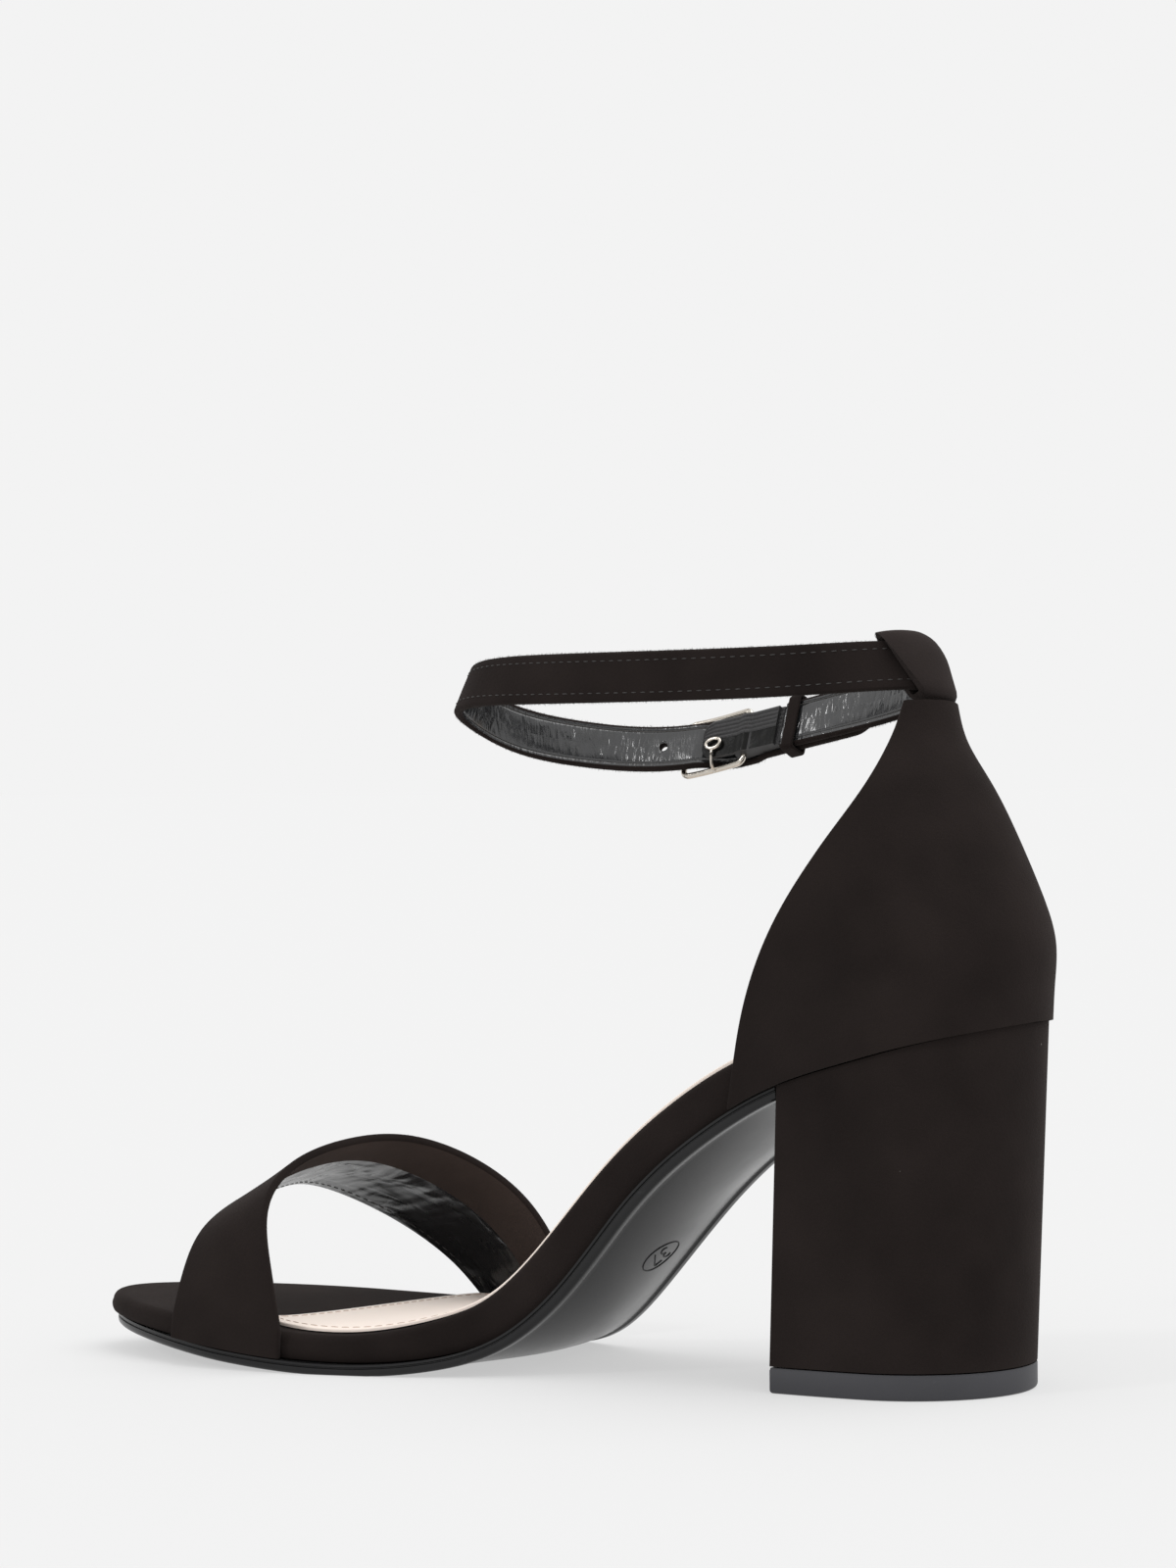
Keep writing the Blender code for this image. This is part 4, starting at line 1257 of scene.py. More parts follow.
@dataclass
class Heel:
    """Wrapped block heel and its rubber lift."""

    last: Last
    looks: Finishes
    proud: float = 1.0 * MM
    taper_back: float = 3.2 * MM
    taper_front: float = 2.3 * MM
    taper_side: float = 0.8 * MM
    lift_thick: float = 5.5 * MM
    lift_bevel: float = 0.8 * MM
    lift_round: float = 0.3 * MM
    lift_groove: float = 0.12 * MM
    cover_round: float = 0.55 * MM

    def plan(self, count: int, level: float) -> tuple[Array, Array, Array, Array]:
        """Lines of the block at a level, from 0 at the floor to 1 at the seat: the tapered outline.

        Args:
            count: Places along each line.
            level: Level.

        Returns:
            X at the top, X, medial Y and lateral Y.
        """
        last = self.last
        back = last.heel_end - self.proud
        x = last.stations(back, last.breast, count, last=False)
        down = 1 - level
        narrow = 1 - self.taper_side * down / last.ball_half
        share = (x - back) / (last.breast - back)
        moved = x + down * (self.taper_back * (1 - share) + self.taper_front * share)
        medial, lateral = (last.side(x, self.proud, side) * narrow for side in Side)
        return x, moved, medial, lateral

    def cover(self) -> Object:
        """Builds the suede-covered block, level at the lift and sloping with the seat."""
        floor = self.lift_thick + GAP
        levels = []
        for level in np.linspace(0, 1, 24):
            x, moved, medial, lateral = self.plan(120, level)
            lines = []
            for y in (medial, lateral):
                z = floor * (1 - level) + (self.last.seat(x, y) - GAP) * level
                lines.append(np.stack([moved, y, z], -1))
            levels.append(lines)
        piece = block("heel_cover", levels).build([self.looks.suede], sharp=40)
        bevel(piece, self.cover_round, 3, 50)
        return settle(piece, Slot.SUEDE, "heel")

    def lift(self) -> Object:
        """Builds the rubber lift, with a rounded ground edge and a fine groove under the cover."""
        _, x, medial, lateral = self.plan(120, 0.0)
        middle = (x[0] + x[-1]) / 2
        top, groove = self.lift_thick, self.lift_groove
        steps = [*quarter(self.lift_bevel, 4)[::-1], (0.0, top - 0.5 * MM)]
        steps += [(groove, top - 0.3 * MM), (groove, top)]
        levels = []
        for inset, z in steps:
            flat = middle + (x - middle) * (1 - 2 * inset / (x[-1] - x[0]))
            narrow = 1 - inset / medial.max()
            levels.append([np.stack([flat, y * narrow, 0 * x + z], -1) for y in (medial, lateral)])
        piece = block("heel_lift_rubber", levels).build([self.looks.lift], sharp=40)
        bevel(piece, self.lift_round, 2, 50)
        return settle(piece, Slot.RUBBER, "heel_lift")

    def build(self) -> None:
        """Builds the block and the lift."""
        self.cover()
        self.lift()


# Ankle strap, heel loop and buckle.


@dataclass
class AnkleLine:
    """The ankle strap's middle line: an ellipse in plan whose height and tilt follow a table."""

    last: Last
    length: float = 112.5 * MM
    width: float = 46 * MM
    back_x: float = -6.5 * MM
    band: float = 11.0 * MM
    thick: float = 2.0 * MM
    counter_height: float = 66.8 * MM
    loop_wall: float = 1.9 * MM
    loop_ease: float = 0.5 * MM
    loop_slack: float = 0.8 * MM
    table: dict[str, Spline] = field(init=False)
    turns: Array = field(init=False)
    run: Array = field(init=False)

    def __post_init__(self) -> None:
        """Measures the ellipse over three laps, with 0 at the back and growing round the medial side."""
        rows = (
            (0.0, -0.50, 18.0),
            (60.0, -0.11, 8.0),
            (120.0, -0.05, 5.0),
            (180.0, 0.00, 18.0),
            (225.0, -0.53, -8.0),
            (258.0, -1.06, -22.0),
            (285.0, -1.48, -26.0),
            (310.0, -1.39, -20.0),
            (335.0, -1.03, -4.0),
        )
        laps = tuple((turn + lap * 360, *rest) for lap in (-1, 0, 1) for turn, *rest in rows)
        self.table = spline_table(("turn", "height", "tilt"), laps)
        self.turns = np.linspace(540, -540, 2161)
        run = run_length(self.plan(self.turns))
        self.run = run - np.interp(0.0, 180 - self.turns, run)

    @property
    def girth(self) -> float:
        """Length of one lap."""
        return float(self.at(-180.0) - self.at(180.0))

    @property
    def loop_half(self) -> Pair:
        """Half of the heel loop's outer height and thickness."""
        up = self.band / 2 + self.loop_slack + self.loop_wall
        return up, self.thick / 2 + self.loop_ease + self.loop_wall

    @property
    def middle_z(self) -> float:
        """Height of the strap's middle at the back."""
        return float(self.last.seat(self.last.heel_end)) + self.counter_height + GAP + self.loop_half[0]

    def plan(self, turns: Array) -> Array:
        """X and Y of the ellipse at turns in degrees."""
        angle = np.radians(turns)
        x = self.back_x + self.length / 2 * (1 + np.cos(angle))
        return np.stack([x, self.width / 2 * np.sin(angle)], -1)

    def at(self, turn: float) -> float:
        """Distance along at a turn."""
        return float(np.interp(-turn, -self.turns, self.run))

    def place(self, along: Any, out: Any = 0.0, up: Any = 0.0) -> Array:
        """Points at a distance along, moved out from the ankle and up along the tilted band.

        Args:
            along: Distance along.
            out: Distance out of the band's middle.
            up: Distance up along the band.

        Returns:
            Points (..., 3).
        """
        along, out, up = np.broadcast_arrays(np.asarray(along, float), out, up)
        turn = np.interp(along, self.run, self.turns)
        angle = np.radians(turn)
        outward = unit(np.stack([self.width * np.cos(angle), self.length * np.sin(angle), 0 * angle], -1))
        wrapped = np.mod(turn, 360)
        tilt = np.radians(self.table["tilt"](wrapped))[..., None]
        rise = np.array([0.0, 0.0, 1.0])
        upward = rise * np.cos(tilt) - outward * np.sin(tilt)
        face = outward * np.cos(tilt) + rise * np.sin(tilt)
        z = self.middle_z + self.band * self.table["height"](wrapped)
        middle = np.concatenate([self.plan(turn), z[..., None]], -1)
        return middle + out[..., None] * face + up[..., None] * upward


@dataclass
class AnkleStrap:
    """The buckled band with its lining, the heel loop, the keeper and the buckle."""

    line: AnkleLine
    looks: Finishes
    nap: Nap
    rear_bar: float = -92.0
    frame_length: float = 15.5 * MM
    frame_round: float = 1.6 * MM
    ramp: float = 5.2 * MM
    wire: float = 0.7 * MM
    prong: float = 0.5 * MM
    prong_tip: float = 1.2 * MM
    prong_wrap: float = 285.0
    tab_wall: float = 1.2 * MM
    tab_length: float = 9.3 * MM
    tab_reach: float = 10.4 * MM
    tab_inset: float = 0.9 * MM
    tab_end: float = 0.8 * MM
    rib: float = 0.16 * MM
    ribs: int = 5
    lap_round: float = 3.0 * MM
    lap_depth: float = 1.9 * MM
    lap_inside: float = 0.9 * MM
    tongue: float = 33 * MM
    hole: float = 1.0 * MM
    pitch: float = 12.5 * MM
    seam: float = 2.0 * MM
    stitch: Seam = Seam(2.2 * MM, 1.25 * MM, 0.15 * MM)
    loop_length: float = 20 * MM
    loop_spread: float = 0.42
    loop_pinch: float = 0.08
    loop_lean: float = 0.5 * MM
    loop_round: float = 2.5 * MM
    loop_taper: float = 0.62
    loop_edge: float = 0.5 * MM
    keeper_wall: float = 0.7 * MM
    keeper_round: float = 0.25 * MM
    keeper_length: float = 3.0 * MM
    keeper_behind: float = 1.2 * MM
    ring_place: Triple = (-7.2 * MM, -1.6 * MM, -2.75 * MM)
    ring_half: Pair = (1.75 * MM, 1.2 * MM)
    ring_wire: float = 0.42 * MM
    stem_wire: float = 0.36 * MM

    @property
    def bar(self) -> float:
        """Distance along at the buckle's rear bar."""
        return self.line.at(self.rear_bar)

    @property
    def free_out(self) -> float:
        """How far out the free end's middle lies."""
        return self.line.thick + GAP

    def ride_out(self, beyond: Array) -> Array:
        """How far out the band's middle lies, eased between the bars.

        Args:
            beyond: Distance beyond the rear bar.

        Returns:
            Distances out.
        """
        over = self.wire + self.tab_wall + 2 * GAP + self.line.thick / 2
        knots = np.array([-self.frame_length + self.ramp / 2, -self.ramp / 2, self.ramp / 4, self.ramp])
        values = np.array([0.0, over, over, self.free_out])
        i = np.clip(np.searchsorted(knots, beyond) - 1, 0, 2)
        share = smooth((beyond - knots[i]) / (knots[i + 1] - knots[i]))
        return values[i] * (1 - share) + values[i + 1] * share

    def band_section(self) -> Lines:
        """Half-round edges, a flat outer face, and inside a turned edge, a groove and a raised lining.

        Returns:
            Points (count, 2) of out and up, from the inner face's middle round to it again, and the
            material of each step.
        """
        half, wide = self.line.thick / 2, self.line.band / 2
        inner = [(-1.0, 0.0), (-1.06, 0.3), (-1.04, 0.62), (-0.98, 0.68)]
        inner += [(-0.76, 0.715), (-0.95, 0.75), (-1.0, 0.86)]
        turns = np.radians(np.linspace(180, 0, 9))
        round_half = 0.6 * MM / wide
        edge = [(math.cos(t), 1 - round_half + round_half * math.sin(t)) for t in turns]
        outer = [(1.0, 0.6), (1.04, 0.3), (1.05, 0.0)]
        upper = np.array(inner + edge + outer)
        ring = np.concatenate([upper, (upper * (1, -1))[::-1][1:]])
        steps = np.abs(ring[:-1, 1] + ring[1:, 1]) / 2
        inner_face = (ring[:-1, 0] < -0.5) & (ring[1:, 0] < -0.5)
        lined = inner_face & (steps < 0.86)
        cut = inner_face & (steps > 0.72) & (steps < 0.76)
        return ring * (half, wide), np.where(cut, 3, lined.astype(int))

    def band(self) -> Object:
        """Builds the band: its section carried along the line, narrowing in a half circle at the free end."""
        line = self.line
        start = self.bar + self.tab_length + GAP - line.girth
        end = self.bar + self.tongue
        half = line.band / 2
        tip = end - half * (1 - np.sin(np.linspace(0, math.pi / 2, 24)))
        along = np.concatenate([np.linspace(start, end - half, 620), tip[1:]])
        narrow = round_off(end - along, half)
        out = self.ride_out(along - self.bar)
        section, slots = self.band_section()
        flat = np.maximum(narrow, 0.02)[:, None]
        rings = line.place(along[:, None], out[:, None] + section[None, :, 0], section[None, :, 1] * flat)
        across = np.concatenate([[0.0], np.cumsum(np.abs(np.diff(section[:, 1])))])
        uv = np.stack(np.broadcast_arrays(along[:, None] - start, across[None]), -1)
        surface = Surface("ankle_band")
        surface.banded(rings, slots, uv)
        for ring in (rings[0], rings[-1]):
            surface.cap(ring[:-1])
        for side in (-1, 1):
            row = np.linspace(start + 1.5 * MM, end - 2.5 * MM, 1400)
            row_out = self.ride_out(row - self.bar) + 1.03 * line.thick / 2
            places, ahead = evenly(line.place(row, row_out, side * (half - self.seam)), self.stitch.pitch)
            normals = np.cross(ahead, np.array([0.0, 0.0, 1.0]))
            surface.stitches(places, ahead, normals, self.stitch, 2)
        looks = [self.looks.suede, self.looks.lining, self.looks.thread, self.looks.cut_edge]
        piece = surface.build(looks, sharp=50)
        self.punch(piece)
        for side in (-1, 1):
            row = np.linspace(start, end - half, 900)
            foot = line.place(row, self.ride_out(row - self.bar), side * (half - 0.1 * MM))
            above = line.place(row, self.ride_out(row - self.bar), side * (half + 1 * MM))
            self.nap.grow(foot, above - foot, line.thick * 0.8)
        return settle(piece, Slot.SUEDE, "ankle_strap")

    def punch(self, piece: Object) -> None:
        """Cuts the punched holes and the prong's hole through the band.

        Args:
            piece: The band.
        """
        line, wall = self.line, self.line.thick
        wrap = self.wire + GAP + self.prong
        front = wall / 2 + GAP + self.wire + wrap
        tip = self.bar - self.frame_length - self.prong_tip
        drills = [(self.bar, wrap, tip, front, self.prong + 2 * GAP)]
        for step in (-1, 1, 2):
            spot = -self.frame_length / 2 + step * self.pitch
            middle = float(self.ride_out(np.array(spot)))
            low = middle - wall if spot < 0 else middle - (wall + GAP) / 2
            drills.append((self.bar + spot, low, self.bar + spot, middle + wall, self.hole))
        for along_low, out_low, along_high, out_high, radius in drills:
            ends = np.stack([line.place(along_low, out_low), line.place(along_high, out_high)])
            drill = Surface("drill")
            drill.tube(ends[0] + (ends[1] - ends[0]) * np.linspace(0, 1, 3)[:, None], radius, sides=24)
            cutter = drill.build([self.looks.suede])
            add_modifier(piece, "BOOLEAN", operation="DIFFERENCE", object=cutter)
            shape = piece.evaluated_get(bpy.context.evaluated_depsgraph_get())
            piece.data = bpy.data.meshes.new_from_object(shape)
            piece.modifiers.clear()
            bpy.data.objects.remove(cutter)

    def sleeve(
        self, name: str, along: Array, inner: Array, outer: Array, spread: float = 0.0, pinch: float = 0.0
    ) -> Surface:
        """A tube between two sections, carried along the line.

        A point's distance along grows with its height by the spread, and the outer section shrinks towards
        both ends by the pinch times the fourth power of the share from the middle.

        Args:
            name: Name of the piece.
            along: Distances along.
            inner: Inner section (count, 2).
            outer: Outer section (count, 2).
            spread: Share by which the upper edge is longer.
            pinch: Share by which the ends are smaller.

        Returns:
            The closed surface.
        """
        share = (along - along.mean()) / np.ptp(along) * 2
        rings = []
        for section, soft in ((outer, pinch), (inner, 0.0)):
            small = 1 - soft * share[:, None] ** 4
            longer = 1 + spread * section[None, :, 1] / outer[:, 1].max()
            run = along.mean() + (along[:, None] - along.mean()) * longer
            rings.append(self.line.place(run, section[None, :, 0] * small, section[None, :, 1] * small))
        surface = Surface(name)
        for ring in rings:
            surface.grid(ring)
        for end in (0, -1):
            surface.grid(np.stack([rings[0][end], rings[1][end]]))
        return surface

    def heel_loop(self) -> Object:
        """Builds the suede sleeve on the counter's top, with softly rounded shoulders."""
        up, out = self.line.loop_half
        wall = self.line.loop_wall
        inner = rounded_section((wall - out, out - wall), (wall - up, up - wall), self.line.loop_ease, 4, 8)
        outer = rounded_section((-out, out), (-up, up), self.loop_round, 4, 8)
        share = np.clip(outer[:, 1] / up, 0, 1)
        outer[:, 0] = outer[:, 0] * (1 - self.loop_taper * share**2) - self.loop_lean * share**2
        along = self.loop_length / 2 * np.sin(np.linspace(-math.pi / 2, math.pi / 2, 48))
        surface = self.sleeve("heel_loop_sleeve", along, inner, outer, self.loop_spread, self.loop_pinch)
        # The loop takes the lighter copy of the suede, with painted light.
        piece = surface.build([self.looks.loop_suede_painted_light], sharp=60)
        bevel(piece, self.loop_edge, 3, 55)
        for end in (-1, 1):
            longer = self.loop_length / 2 * (1 + self.loop_spread * outer[:, 1] / up)
            rim = self.line.place(end * longer, outer[:, 0] * 0.85, outer[:, 1] * 0.88)
            beyond = self.line.place(end * (longer + 0.4 * MM), outer[:, 0] * 1.1, outer[:, 1] * 1.05)
            self.nap.grow(rim, beyond - rim, 0.5 * MM)
        return settle(piece, Slot.SUEDE, "heel_loop")

    def keeper(self) -> Object:
        """Builds the narrow band that holds the free end."""
        start = self.bar + self.tab_length + self.keeper_behind
        half, thick = self.line.band / 2 + GAP, self.line.thick / 2 + GAP
        sections = []
        for wall in (0.0, self.keeper_wall):
            out, up = (-thick - wall, self.free_out + thick + wall), (-half - wall, half + wall)
            sections.append(rounded_section(out, up, self.keeper_round + wall, 3, 4))
        along = start + self.keeper_length * np.linspace(0, 1, 9)
        piece = self.sleeve("keeper_band", along, *sections).build([self.looks.suede], sharp=60)
        bevel(piece, self.keeper_round, 2, 55)
        return settle(piece, Slot.SUEDE, "keeper")

    def tab(self) -> Object:
        """Builds the ribbed elastic round the rear bar, with its inner lap running on past the bar.

        Its section is a closed line of (along, out): out over the bar, back under it and round the lap's end.
        The outer distance is raised by a row of sine ribs across the upper part.
        """
        eye = self.wire + GAP + self.tab_wall
        half_up = self.line.band / 2 - self.tab_inset
        up = np.linspace(-half_up, half_up, 97)
        above = (up + 0.1 * half_up) / (1.1 * half_up)
        ribs = self.rib * np.where(above > 0, np.abs(np.sin(above * self.ribs * math.pi)), 0)
        surface = Surface("elastic_tab")
        round_bar = arc((0, 0), (-0.9 * eye, eye), 90, -90, 24)
        top = np.linspace((self.tab_length, self.tab_end), (0, eye), 12)
        profile = np.concatenate([top, round_bar[1:-1], top[::-1] * (1, -1), top[:1]])
        lift = np.where(profile[:, 1] < 0, -1.0, 1.0)[:, None] * ribs[None]
        points = self.line.place(self.bar + profile[:, None, 0], profile[:, None, 1] + lift, up[None])
        run = run_length(np.pad(profile, ((0, 0), (0, 1))))
        uv = np.stack(np.broadcast_arrays(run[:, None], up[None]), -1)
        surface.grid(points, 0, uv)
        for end in (0, -1):
            surface.cap(points[:-1, end])
        self.lap(surface, ribs, up)
        piece = surface.build([self.looks.elastic, self.looks.patch], sharp=50)
        return settle(piece, Slot.ELASTIC, "buckle_tab")

    def lap(self, surface: Surface, ribs: Array, up: Array) -> None:
        """Adds the lap that shows inside the frame: a flat strip with a rounded end and ribbed inner face.

        Args:
            surface: The tab's surface.
            ribs: Height of the ribs by place across.
            up: Places across.
        """
        eye = self.wire + GAP + self.tab_wall
        front, back = -self.tab_reach, self.tab_length - 1.0 * MM
        along = front + (back - front) * (1 - np.cos(np.linspace(0, math.pi / 2, 40)))
        reach = round_off(along - front, self.lap_round)
        width = (0.25 + 0.75 * reach)[:, None]
        over_bar = np.sqrt(np.clip((eye + 0.2 * MM) ** 2 - along**2, 0, None))
        depth = np.minimum(eye + 0.15 * MM - self.lap_inside * (1 - reach), self.lap_depth)
        depth = np.maximum(depth, over_bar)
        inner = -depth[:, None] - 1.4 * ribs[None]
        inner = self.line.place(self.bar + along[:, None], inner, up[None] * width)
        outer = self.line.place(self.bar + along[:, None], -self.lap_inside, up[None] * width)
        split = int(np.argmax(ribs > 0))
        uv = np.stack(np.broadcast_arrays(along[:, None], up[None]), -1)
        surface.grid(inner[:, : split + 1], 1, uv[:, : split + 1])
        surface.grid(inner[:, split:], 0, uv[:, split:])
        surface.grid(outer, 0, uv)
        for edge in (0, -1):
            surface.grid(np.stack([inner[:, edge], outer[:, edge]]))
            surface.grid(np.stack([inner[edge], outer[edge]]))

    def frame(self) -> Object:
        """Builds the wire frame: a rounded rectangle whose front bar stands further out."""
        line = self.line
        half_up = line.band / 2 + GAP + self.wire
        sides = (-self.frame_length, 0.0), (-half_up, half_up)
        outline = rounded_section(*sides, self.frame_round, 8, 24)[:-1]
        share = -outline[:, 0] / self.frame_length
        front = line.thick / 2 + GAP + self.wire
        surface = Surface("buckle_wire")
        middle = line.place(self.bar + outline[:, 0], front * share, outline[:, 1])
        surface.tube(middle, self.wire, closed=True, sides=20)
        return settle(surface.build([self.looks.metal]), Slot.METAL, "buckle_frame")

    def pin(self) -> Object:
        """Builds the prong: most of a circle round the rear bar, then a straight run to the front bar."""
        line = self.line
        wrap = self.wire + GAP + self.prong
        tip_along = -self.frame_length - self.prong_tip
        tip_out = line.thick / 2 + GAP + self.wire + wrap
        turns = np.radians(90 + np.linspace(self.prong_wrap, 0, 60))
        along = np.concatenate([-wrap * np.cos(turns), np.linspace(0, tip_along, 40)[1:]])
        out = np.concatenate([wrap * np.sin(turns), np.linspace(wrap, tip_out, 40)[1:]])
        surface = Surface("buckle_pin")
        surface.tube(line.place(self.bar + along, out), self.prong, sides=16)
        return settle(surface.build([self.looks.metal]), Slot.METAL, "buckle_prong")

    def ring(self) -> Object:
        """Builds the small wire ring on the lap, whose stem hooks round the frame's lower wire."""
        along, up, out = self.ring_place
        turn = arc((self.bar + along, up), self.ring_half, 0, 360, 33)[:-1]
        line = self.line.place(turn[:, 0], out, turn[:, 1])
        low = -(self.line.band / 2 + GAP + self.wire)
        outs = (out, out, out * 0.6, 0.8 * MM)
        ups = (up - self.ring_half[1], low * 0.62, low * 0.95, low * 1.08)
        bends = (Spline(np.linspace(0, 1, 4), knots)(np.linspace(0, 1, 16)) for knots in (outs, ups))
        stem = self.line.place(self.bar + along, *bends)
        surface = Surface("prong_ring")
        surface.tube(line, self.ring_wire, closed=True)
        surface.tube(stem, self.stem_wire)
        return settle(surface.build([self.looks.metal]), Slot.METAL)

    def build(self) -> None:
        """Builds the band and all that it carries."""
        for make in (self.band, self.heel_loop, self.keeper, self.tab, self.frame, self.pin, self.ring):
            make()


# Counter and toe strap.


@dataclass
class Counter:
    """The closed back: one curved wall round the heel that narrows to the heel loop."""

    last: Last
    line: AnkleLine
    looks: Finishes
    nap: Nap
    wall: float = 1.6 * MM
    front: float = 76 * MM
    loop_step: float = 0.5 * MM
    seam: float = 3.0 * MM
    stitch: Seam = Seam(2.4 * MM, 1.5 * MM, 0.13 * MM)
    table: dict[str, Spline] = field(
        default_factory=lambda: spline_table(
            ("level", "blend", "reach"),
            (
                (0.00, 0.00, 1.00),
                (0.12, -0.02, 0.985),
                (0.26, -0.03, 0.95),
                (0.40, 0.09, 0.82),
                (0.57, 0.32, 0.59),
                (0.75, 0.63, 0.342),
                (0.88, 0.89, 0.195),
                (1.00, 1.00, 0.13),
            ),
        )
    )

    def foot(self, distance: Array) -> Lines:
        """X and Y at a distance along the footbed's side from the back, positive on the medial side.

        Args:
            distance: Signed distances.

        Returns:
            X and Y of the same shape.
        """
        last = self.last
        x = last.stations(last.heel_end - GAP, last.heel_end + self.front + last.heel_round, 900, last=False)
        x_out, y_out = np.zeros_like(distance), np.zeros_like(distance)
        for side in Side:
            y = last.side(x, GAP, side)
            run = run_length(np.stack([x, y], -1))
            here = distance * side.value >= 0
            x_out = np.where(here, np.interp(np.abs(distance), run, x), x_out)
            y_out = np.where(here, np.interp(np.abs(distance), run, y), y_out)
        return x_out, y_out

    def sheet(self, level: Array, distance: Array) -> Array:
        """Inner face: the footbed's outline below and the loop's line above, mixed by the table's blend.

        Args:
            level: Height as a share, from the foot to the top.
            distance: Signed distance from the back.

        Returns:
            Points (..., 3).
        """
        x_foot, y_foot = self.foot(distance)
        z_foot = self.last.seat(x_foot, y_foot)
        up, out = self.line.loop_half
        under = out - self.loop_step - self.wall
        top = self.line.place(distance, under, -up - GAP)
        edge = float(self.table["reach"](np.array(1.0))) * self.front
        top_z = self.line.place(np.clip(distance, -edge, edge), under, -up - GAP)[..., 2]
        blend = self.table["blend"](level)
        x = (1 - blend) * x_foot + blend * top[..., 0]
        y = (1 - blend) * y_foot + blend * top[..., 1]
        return np.stack([x, y, z_foot + level * (top_z - z_foot)], -1)

    def outer(self, level: Array, distance: Array) -> Lines:
        """Points and normals of the outer face, from small steps in both parameters.

        Args:
            level: Height as a share.
            distance: Signed distance from the back.

        Returns:
            Points and outward unit normals.
        """
        middle = self.sheet(level, distance)
        up = self.sheet(level + 1e-3, distance) - self.sheet(level - 1e-3, distance)
        ahead = self.sheet(level, distance + 0.2 * MM) - self.sheet(level, distance - 0.2 * MM)
        normals = unit(np.cross(ahead, up))
        return middle + normals * self.wall, normals

    def along_edge(self, level: Array, side: Side) -> Lines:
        """Points and normals of the outer face on the seam's line inside a front edge."""
        return self.outer(level, side.value * (self.table["reach"](level) * self.front - self.seam))

    def build(self) -> Object:
        """Builds the wall with rounded front edges and a row of stitches inside them."""
        levels, across = np.meshgrid(np.linspace(0, 1, 120), np.linspace(-1, 1, 161), indexing="ij")
        sheet = self.sheet(levels, across * self.table["reach"](levels) * self.front)
        axis = np.stack([0 * levels, 0 * levels, sheet[..., 2]], -1)
        normals = grid_normals(sheet, axis)
        surface = Surface("counter_wall")
        sheet_wall(surface, sheet, normals, self.wall, lining=((1.0, 1),), bulge=0.6)
        edges = dict(zip((Side.LATERAL, Side.MEDIAL), rims(sheet, normals, self.wall)))
        for side in Side:
            level = np.linspace(0.02, 0.97, 700)
            run = run_length(self.along_edge(level, side)[0])
            at = np.interp(np.arange(1.1 * MM, run[-1], self.stitch.pitch), run, level)
            places, out = self.along_edge(at, side)
            surface.stitches(places, np.gradient(places, axis=0), out, self.stitch, 2)
            self.nap.grow(*edges[side], self.wall, 0.6)
        piece = surface.build([self.looks.suede, self.looks.toe_lining, self.looks.thread], sharp=60)
        return settle(piece, Slot.SUEDE, "counter")


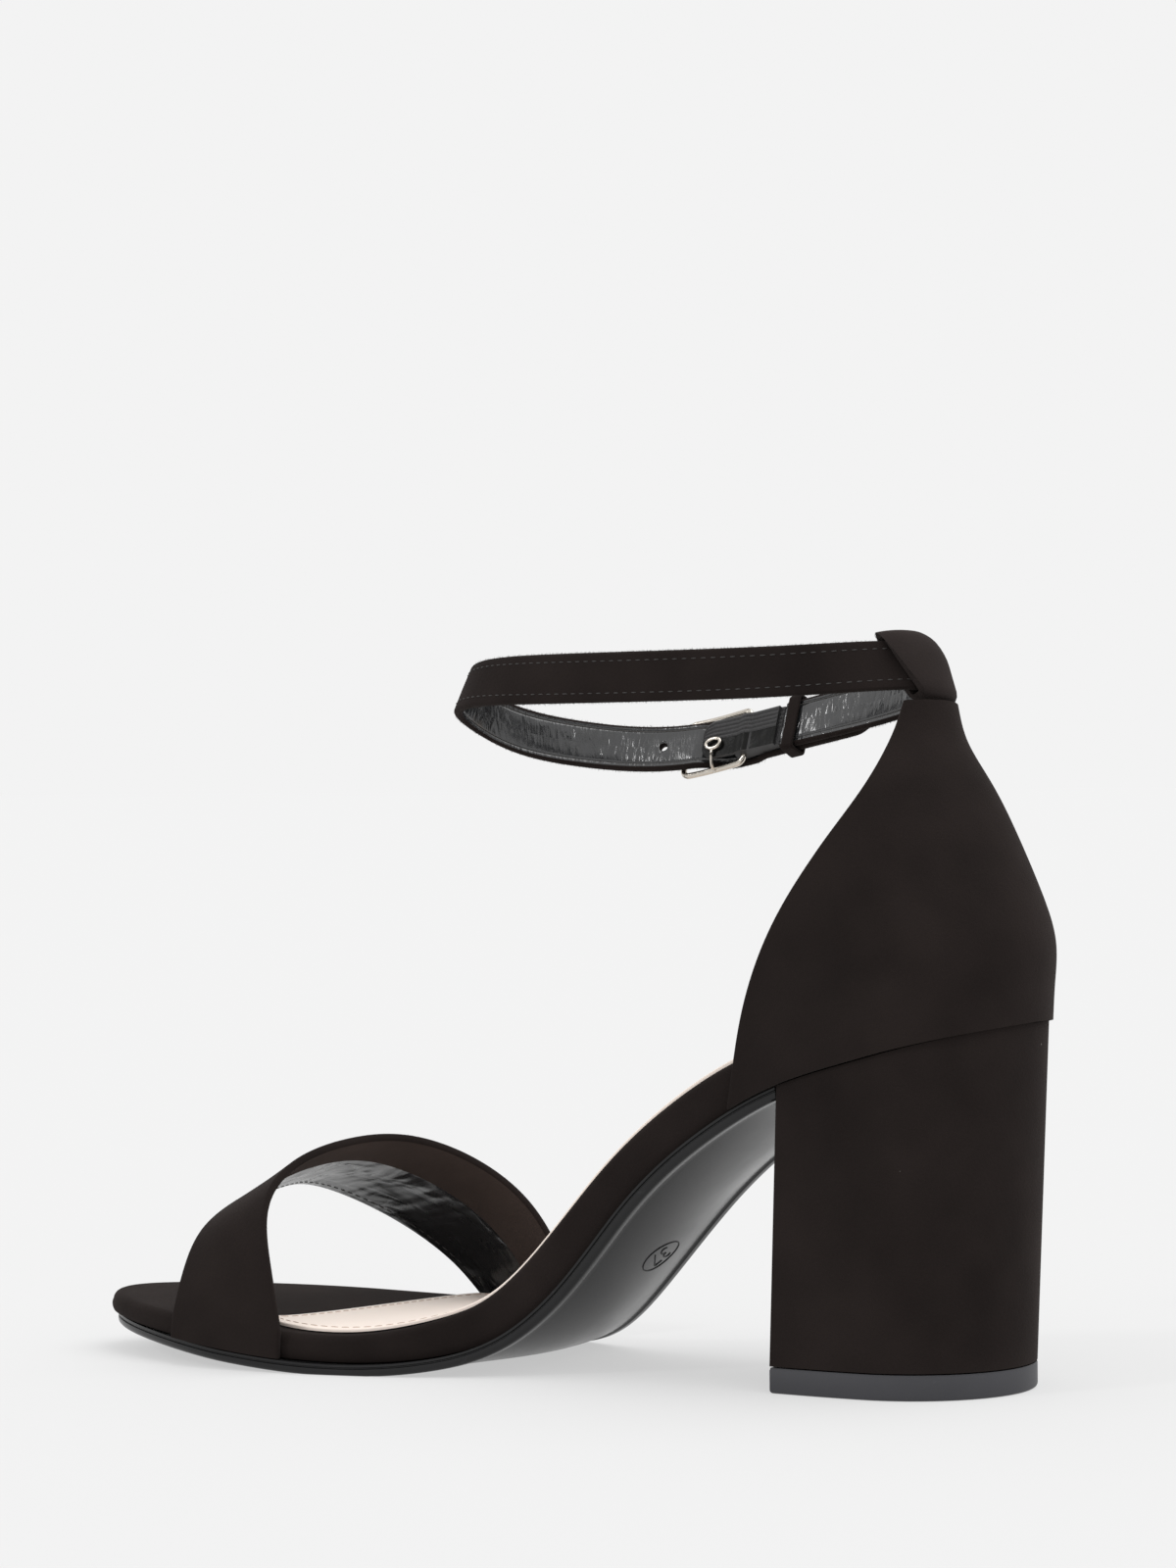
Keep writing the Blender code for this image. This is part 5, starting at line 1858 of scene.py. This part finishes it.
@dataclass
class ToeStrap:
    """The wide band over the toes, suede outside, glossy lining and a turned suede hem inside."""

    last: Last
    looks: Finishes
    nap: Nap
    wall: float = 1.8 * MM
    medial: Pair = (163 * MM, 134.5 * MM)
    lateral: Pair = (127.5 * MM, 99.5 * MM)
    rise: Pair = (26.8 * MM, 38.1 * MM)
    seat: float = 0.5 * MM
    foot_share: float = 0.05
    hem_share: float = 0.58
    seam_share: float = 0.055
    stitch: Seam = Seam(2.3 * MM, 1.5 * MM, 0.15 * MM)
    table: dict[str, Spline] = field(
        default_factory=lambda: spline_table(
            ("across", "side", "rise", "front_bow", "rear_bow"),
            (
                (0.00, 1.00, 0.00, 0.00, 0.00),
                (0.12, 0.97, 0.36, 0.05, 0.18),
                (0.22, 0.86, 0.66, 0.09, 0.34),
                (0.32, 0.60, 0.86, 0.13, 0.42),
                (0.47, 0.13, 0.99, 0.25, 0.39),
                (0.60, -0.28, 0.97, 0.38, 0.30),
                (0.72, -0.63, 0.80, 0.37, 0.17),
                (0.83, -0.86, 0.54, 0.24, 0.06),
                (0.93, -0.97, 0.23, 0.08, 0.01),
                (1.00, -1.00, 0.00, 0.00, 0.00),
            ),
        )
    )

    def sheet(self, across: Array, back: Array) -> Array:
        """Inner face: between the two feet, widened, raised and bowed forwards by the table.

        Beyond 0 and 1 across, it runs straight down the footbed's side.

        Args:
            across: Place from the medial foot (0) to the lateral foot (1).
            back: Place from the front edge (0) to the rear edge (1).

        Returns:
            Points (..., 3).
        """
        tops, bottoms = {}, {}
        for side, (front, rear) in ((Side.MEDIAL, self.medial), (Side.LATERAL, self.lateral)):
            x = front + (rear - front) * back
            y = self.last.side(x, GAP, side)
            tops[side] = self.last.place(x, y, self.last.cover(x) + self.seat)
            bottoms[side] = self.last.place(x, y, 0 * x)
        share = np.clip(across, 0, 1)
        medial, lateral = tops[Side.MEDIAL], tops[Side.LATERAL]
        points = medial * (1 - share[..., None]) + lateral * share[..., None]
        bow = self.table["front_bow"](share) * (1 - back) + self.table["rear_bow"](share) * back
        points[..., 0] += self.last.ball_half * bow
        half = (medial[..., 1] - lateral[..., 1]) / 2
        points[..., 1] = (medial[..., 1] + lateral[..., 1]) / 2 + half * self.table["side"](share)
        points[..., 2] += (self.rise[0] + (self.rise[1] - self.rise[0]) * back) * self.table["rise"](share)
        down = np.clip(-across / self.foot_share, 0, 1)[..., None]
        points += down * (bottoms[Side.MEDIAL] - medial)
        down = np.clip((across - 1) / self.foot_share, 0, 1)[..., None]
        return points + down * (bottoms[Side.LATERAL] - lateral)

    def build(self) -> Object:
        """Builds the band with its rounded edges, lining, hem and the stitches along its front edge."""
        foot = self.foot_share
        rows, columns = np.linspace(-foot, 1 + foot, 221), np.linspace(0, 1, 49)
        sheet = self.sheet(*np.meshgrid(rows, columns, indexing="ij"))
        axis = np.array([0.0, 0.0, 8 * MM]) + sheet.mean(axis=(0, 1)) * (1, 1, 0)
        normals = grid_normals(sheet, axis)
        surface = Surface("toe_band")
        sheet_wall(surface, sheet, normals, self.wall, lining=((self.hem_share, 1), (1.0, 2)))
        row = np.linspace(0.02, 0.98, 900)
        places, ahead = evenly(self.sheet(row, 0 * row + self.seam_share), self.stitch.pitch)
        inward = unit(np.array([0.135, 0.0, 0.01]) - places)
        surface.stitches(places, ahead, inward, self.stitch, 3)
        for middle, out in rims(sheet, normals, self.wall):
            self.nap.grow(middle, out, self.wall)
        # The hem inside takes the lighter brown suede, with painted light.
        looks = [self.looks.suede, self.looks.toe_lining, self.looks.hem, self.looks.thread]
        return settle(surface.build(looks, sharp=60), Slot.SUEDE, "toe_strap")


# Stage.


@dataclass(frozen=True)
class Stage:
    """Pale floor, soft even light and the camera of the photograph."""

    eye: Triple = (-0.3569, 0.8507, 0.130)
    turn: float = 27.0
    roll: float = -0.45
    lens: float = 97.88
    sky: float = 0.896
    floor_shade: float = 0.27
    floor_glow: float = 0.518

    def camera(self) -> None:
        """Makes the camera, level, looking along (sin turn, minus cos turn, 0)."""
        data = bpy.data.cameras.new("photo_view")
        data.lens, data.sensor_width = self.lens, 36.0
        camera = bpy.data.objects.new("photo_view", data)
        sine, cosine = math.sin(math.radians(self.turn)), math.cos(math.radians(self.turn))
        facing = Matrix(((-cosine, 0, -sine), (-sine, 0, cosine), (0, 1, 0))).to_4x4()
        roll = Matrix.Rotation(math.radians(self.roll), 4, "Z")
        camera.matrix_world = Matrix.Translation(self.eye) @ facing @ roll
        bpy.context.scene.collection.objects.link(camera)
        bpy.context.scene.camera = camera

    def floor(self) -> None:
        """Makes the floor, one large square just below the soles."""
        surface = Surface("floor")
        side = np.linspace(-60, 60, 3)
        x, y = np.meshgrid(side, side)
        surface.grid(np.stack([x, y, 0 * x - 0.02 * MM], -1))
        shader = Shader("floor")
        looks = shader.finish(
            {
                "Base Color": rgba((self.floor_shade,) * 3),
                "Roughness": 1.0,
                "Specular IOR Level": 0.0,
                "Emission Color": (1, 1, 1, 1),
                "Emission Strength": self.floor_glow,
            }
        )
        surface.build([looks])

    def lights(self) -> None:
        """Makes an even pale sky, a broad key from behind the heel and a narrow light for the gloss."""
        world = bpy.data.worlds.new("studio")
        world.use_nodes = True
        background = world.node_tree.nodes["Background"]
        background.inputs["Color"].default_value = rgba((self.sky,) * 3)
        bpy.context.scene.world = world
        for name, strength, width, towards in (
            ("key", 1.5, 60.0, (-0.4, -0.15, 0.9)),
            ("gloss", 0.45, 8.0, (0.454, 0.683, 0.573)),
        ):
            data = bpy.data.lights.new(name, "SUN")
            data.energy, data.angle = strength, math.radians(width)
            lamp = bpy.data.objects.new(name, data)
            lamp.rotation_euler = Vector(towards).to_track_quat("Z", "Y").to_euler()
            bpy.context.scene.collection.objects.link(lamp)
        bpy.context.scene.view_settings.view_transform = "Standard"

    def build(self) -> None:
        """Makes the camera, the floor and the lights."""
        self.camera()
        self.floor()
        self.lights()


def main() -> None:
    """Builds the sandal's pieces on the frame, then the stage."""
    logging.basicConfig(level=logging.INFO, format="%(name)s %(message)s")
    for old in list(bpy.data.objects):
        bpy.data.objects.remove(old)
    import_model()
    stage = Stage()
    stage.build()
    looks = Finishes()
    last = Last()
    line = AnkleLine(last)
    nap = Nap(looks)
    for part in (
        Soles(last, looks),
        Heel(last, looks),
        Counter(last, line, looks, nap),
        ToeStrap(last, looks, nap),
        AnkleStrap(line, looks, nap),
        nap,
    ):
        part.build()
        LOG.info("%s built", type(part).__name__)


if __name__ == "__main__":
    main()
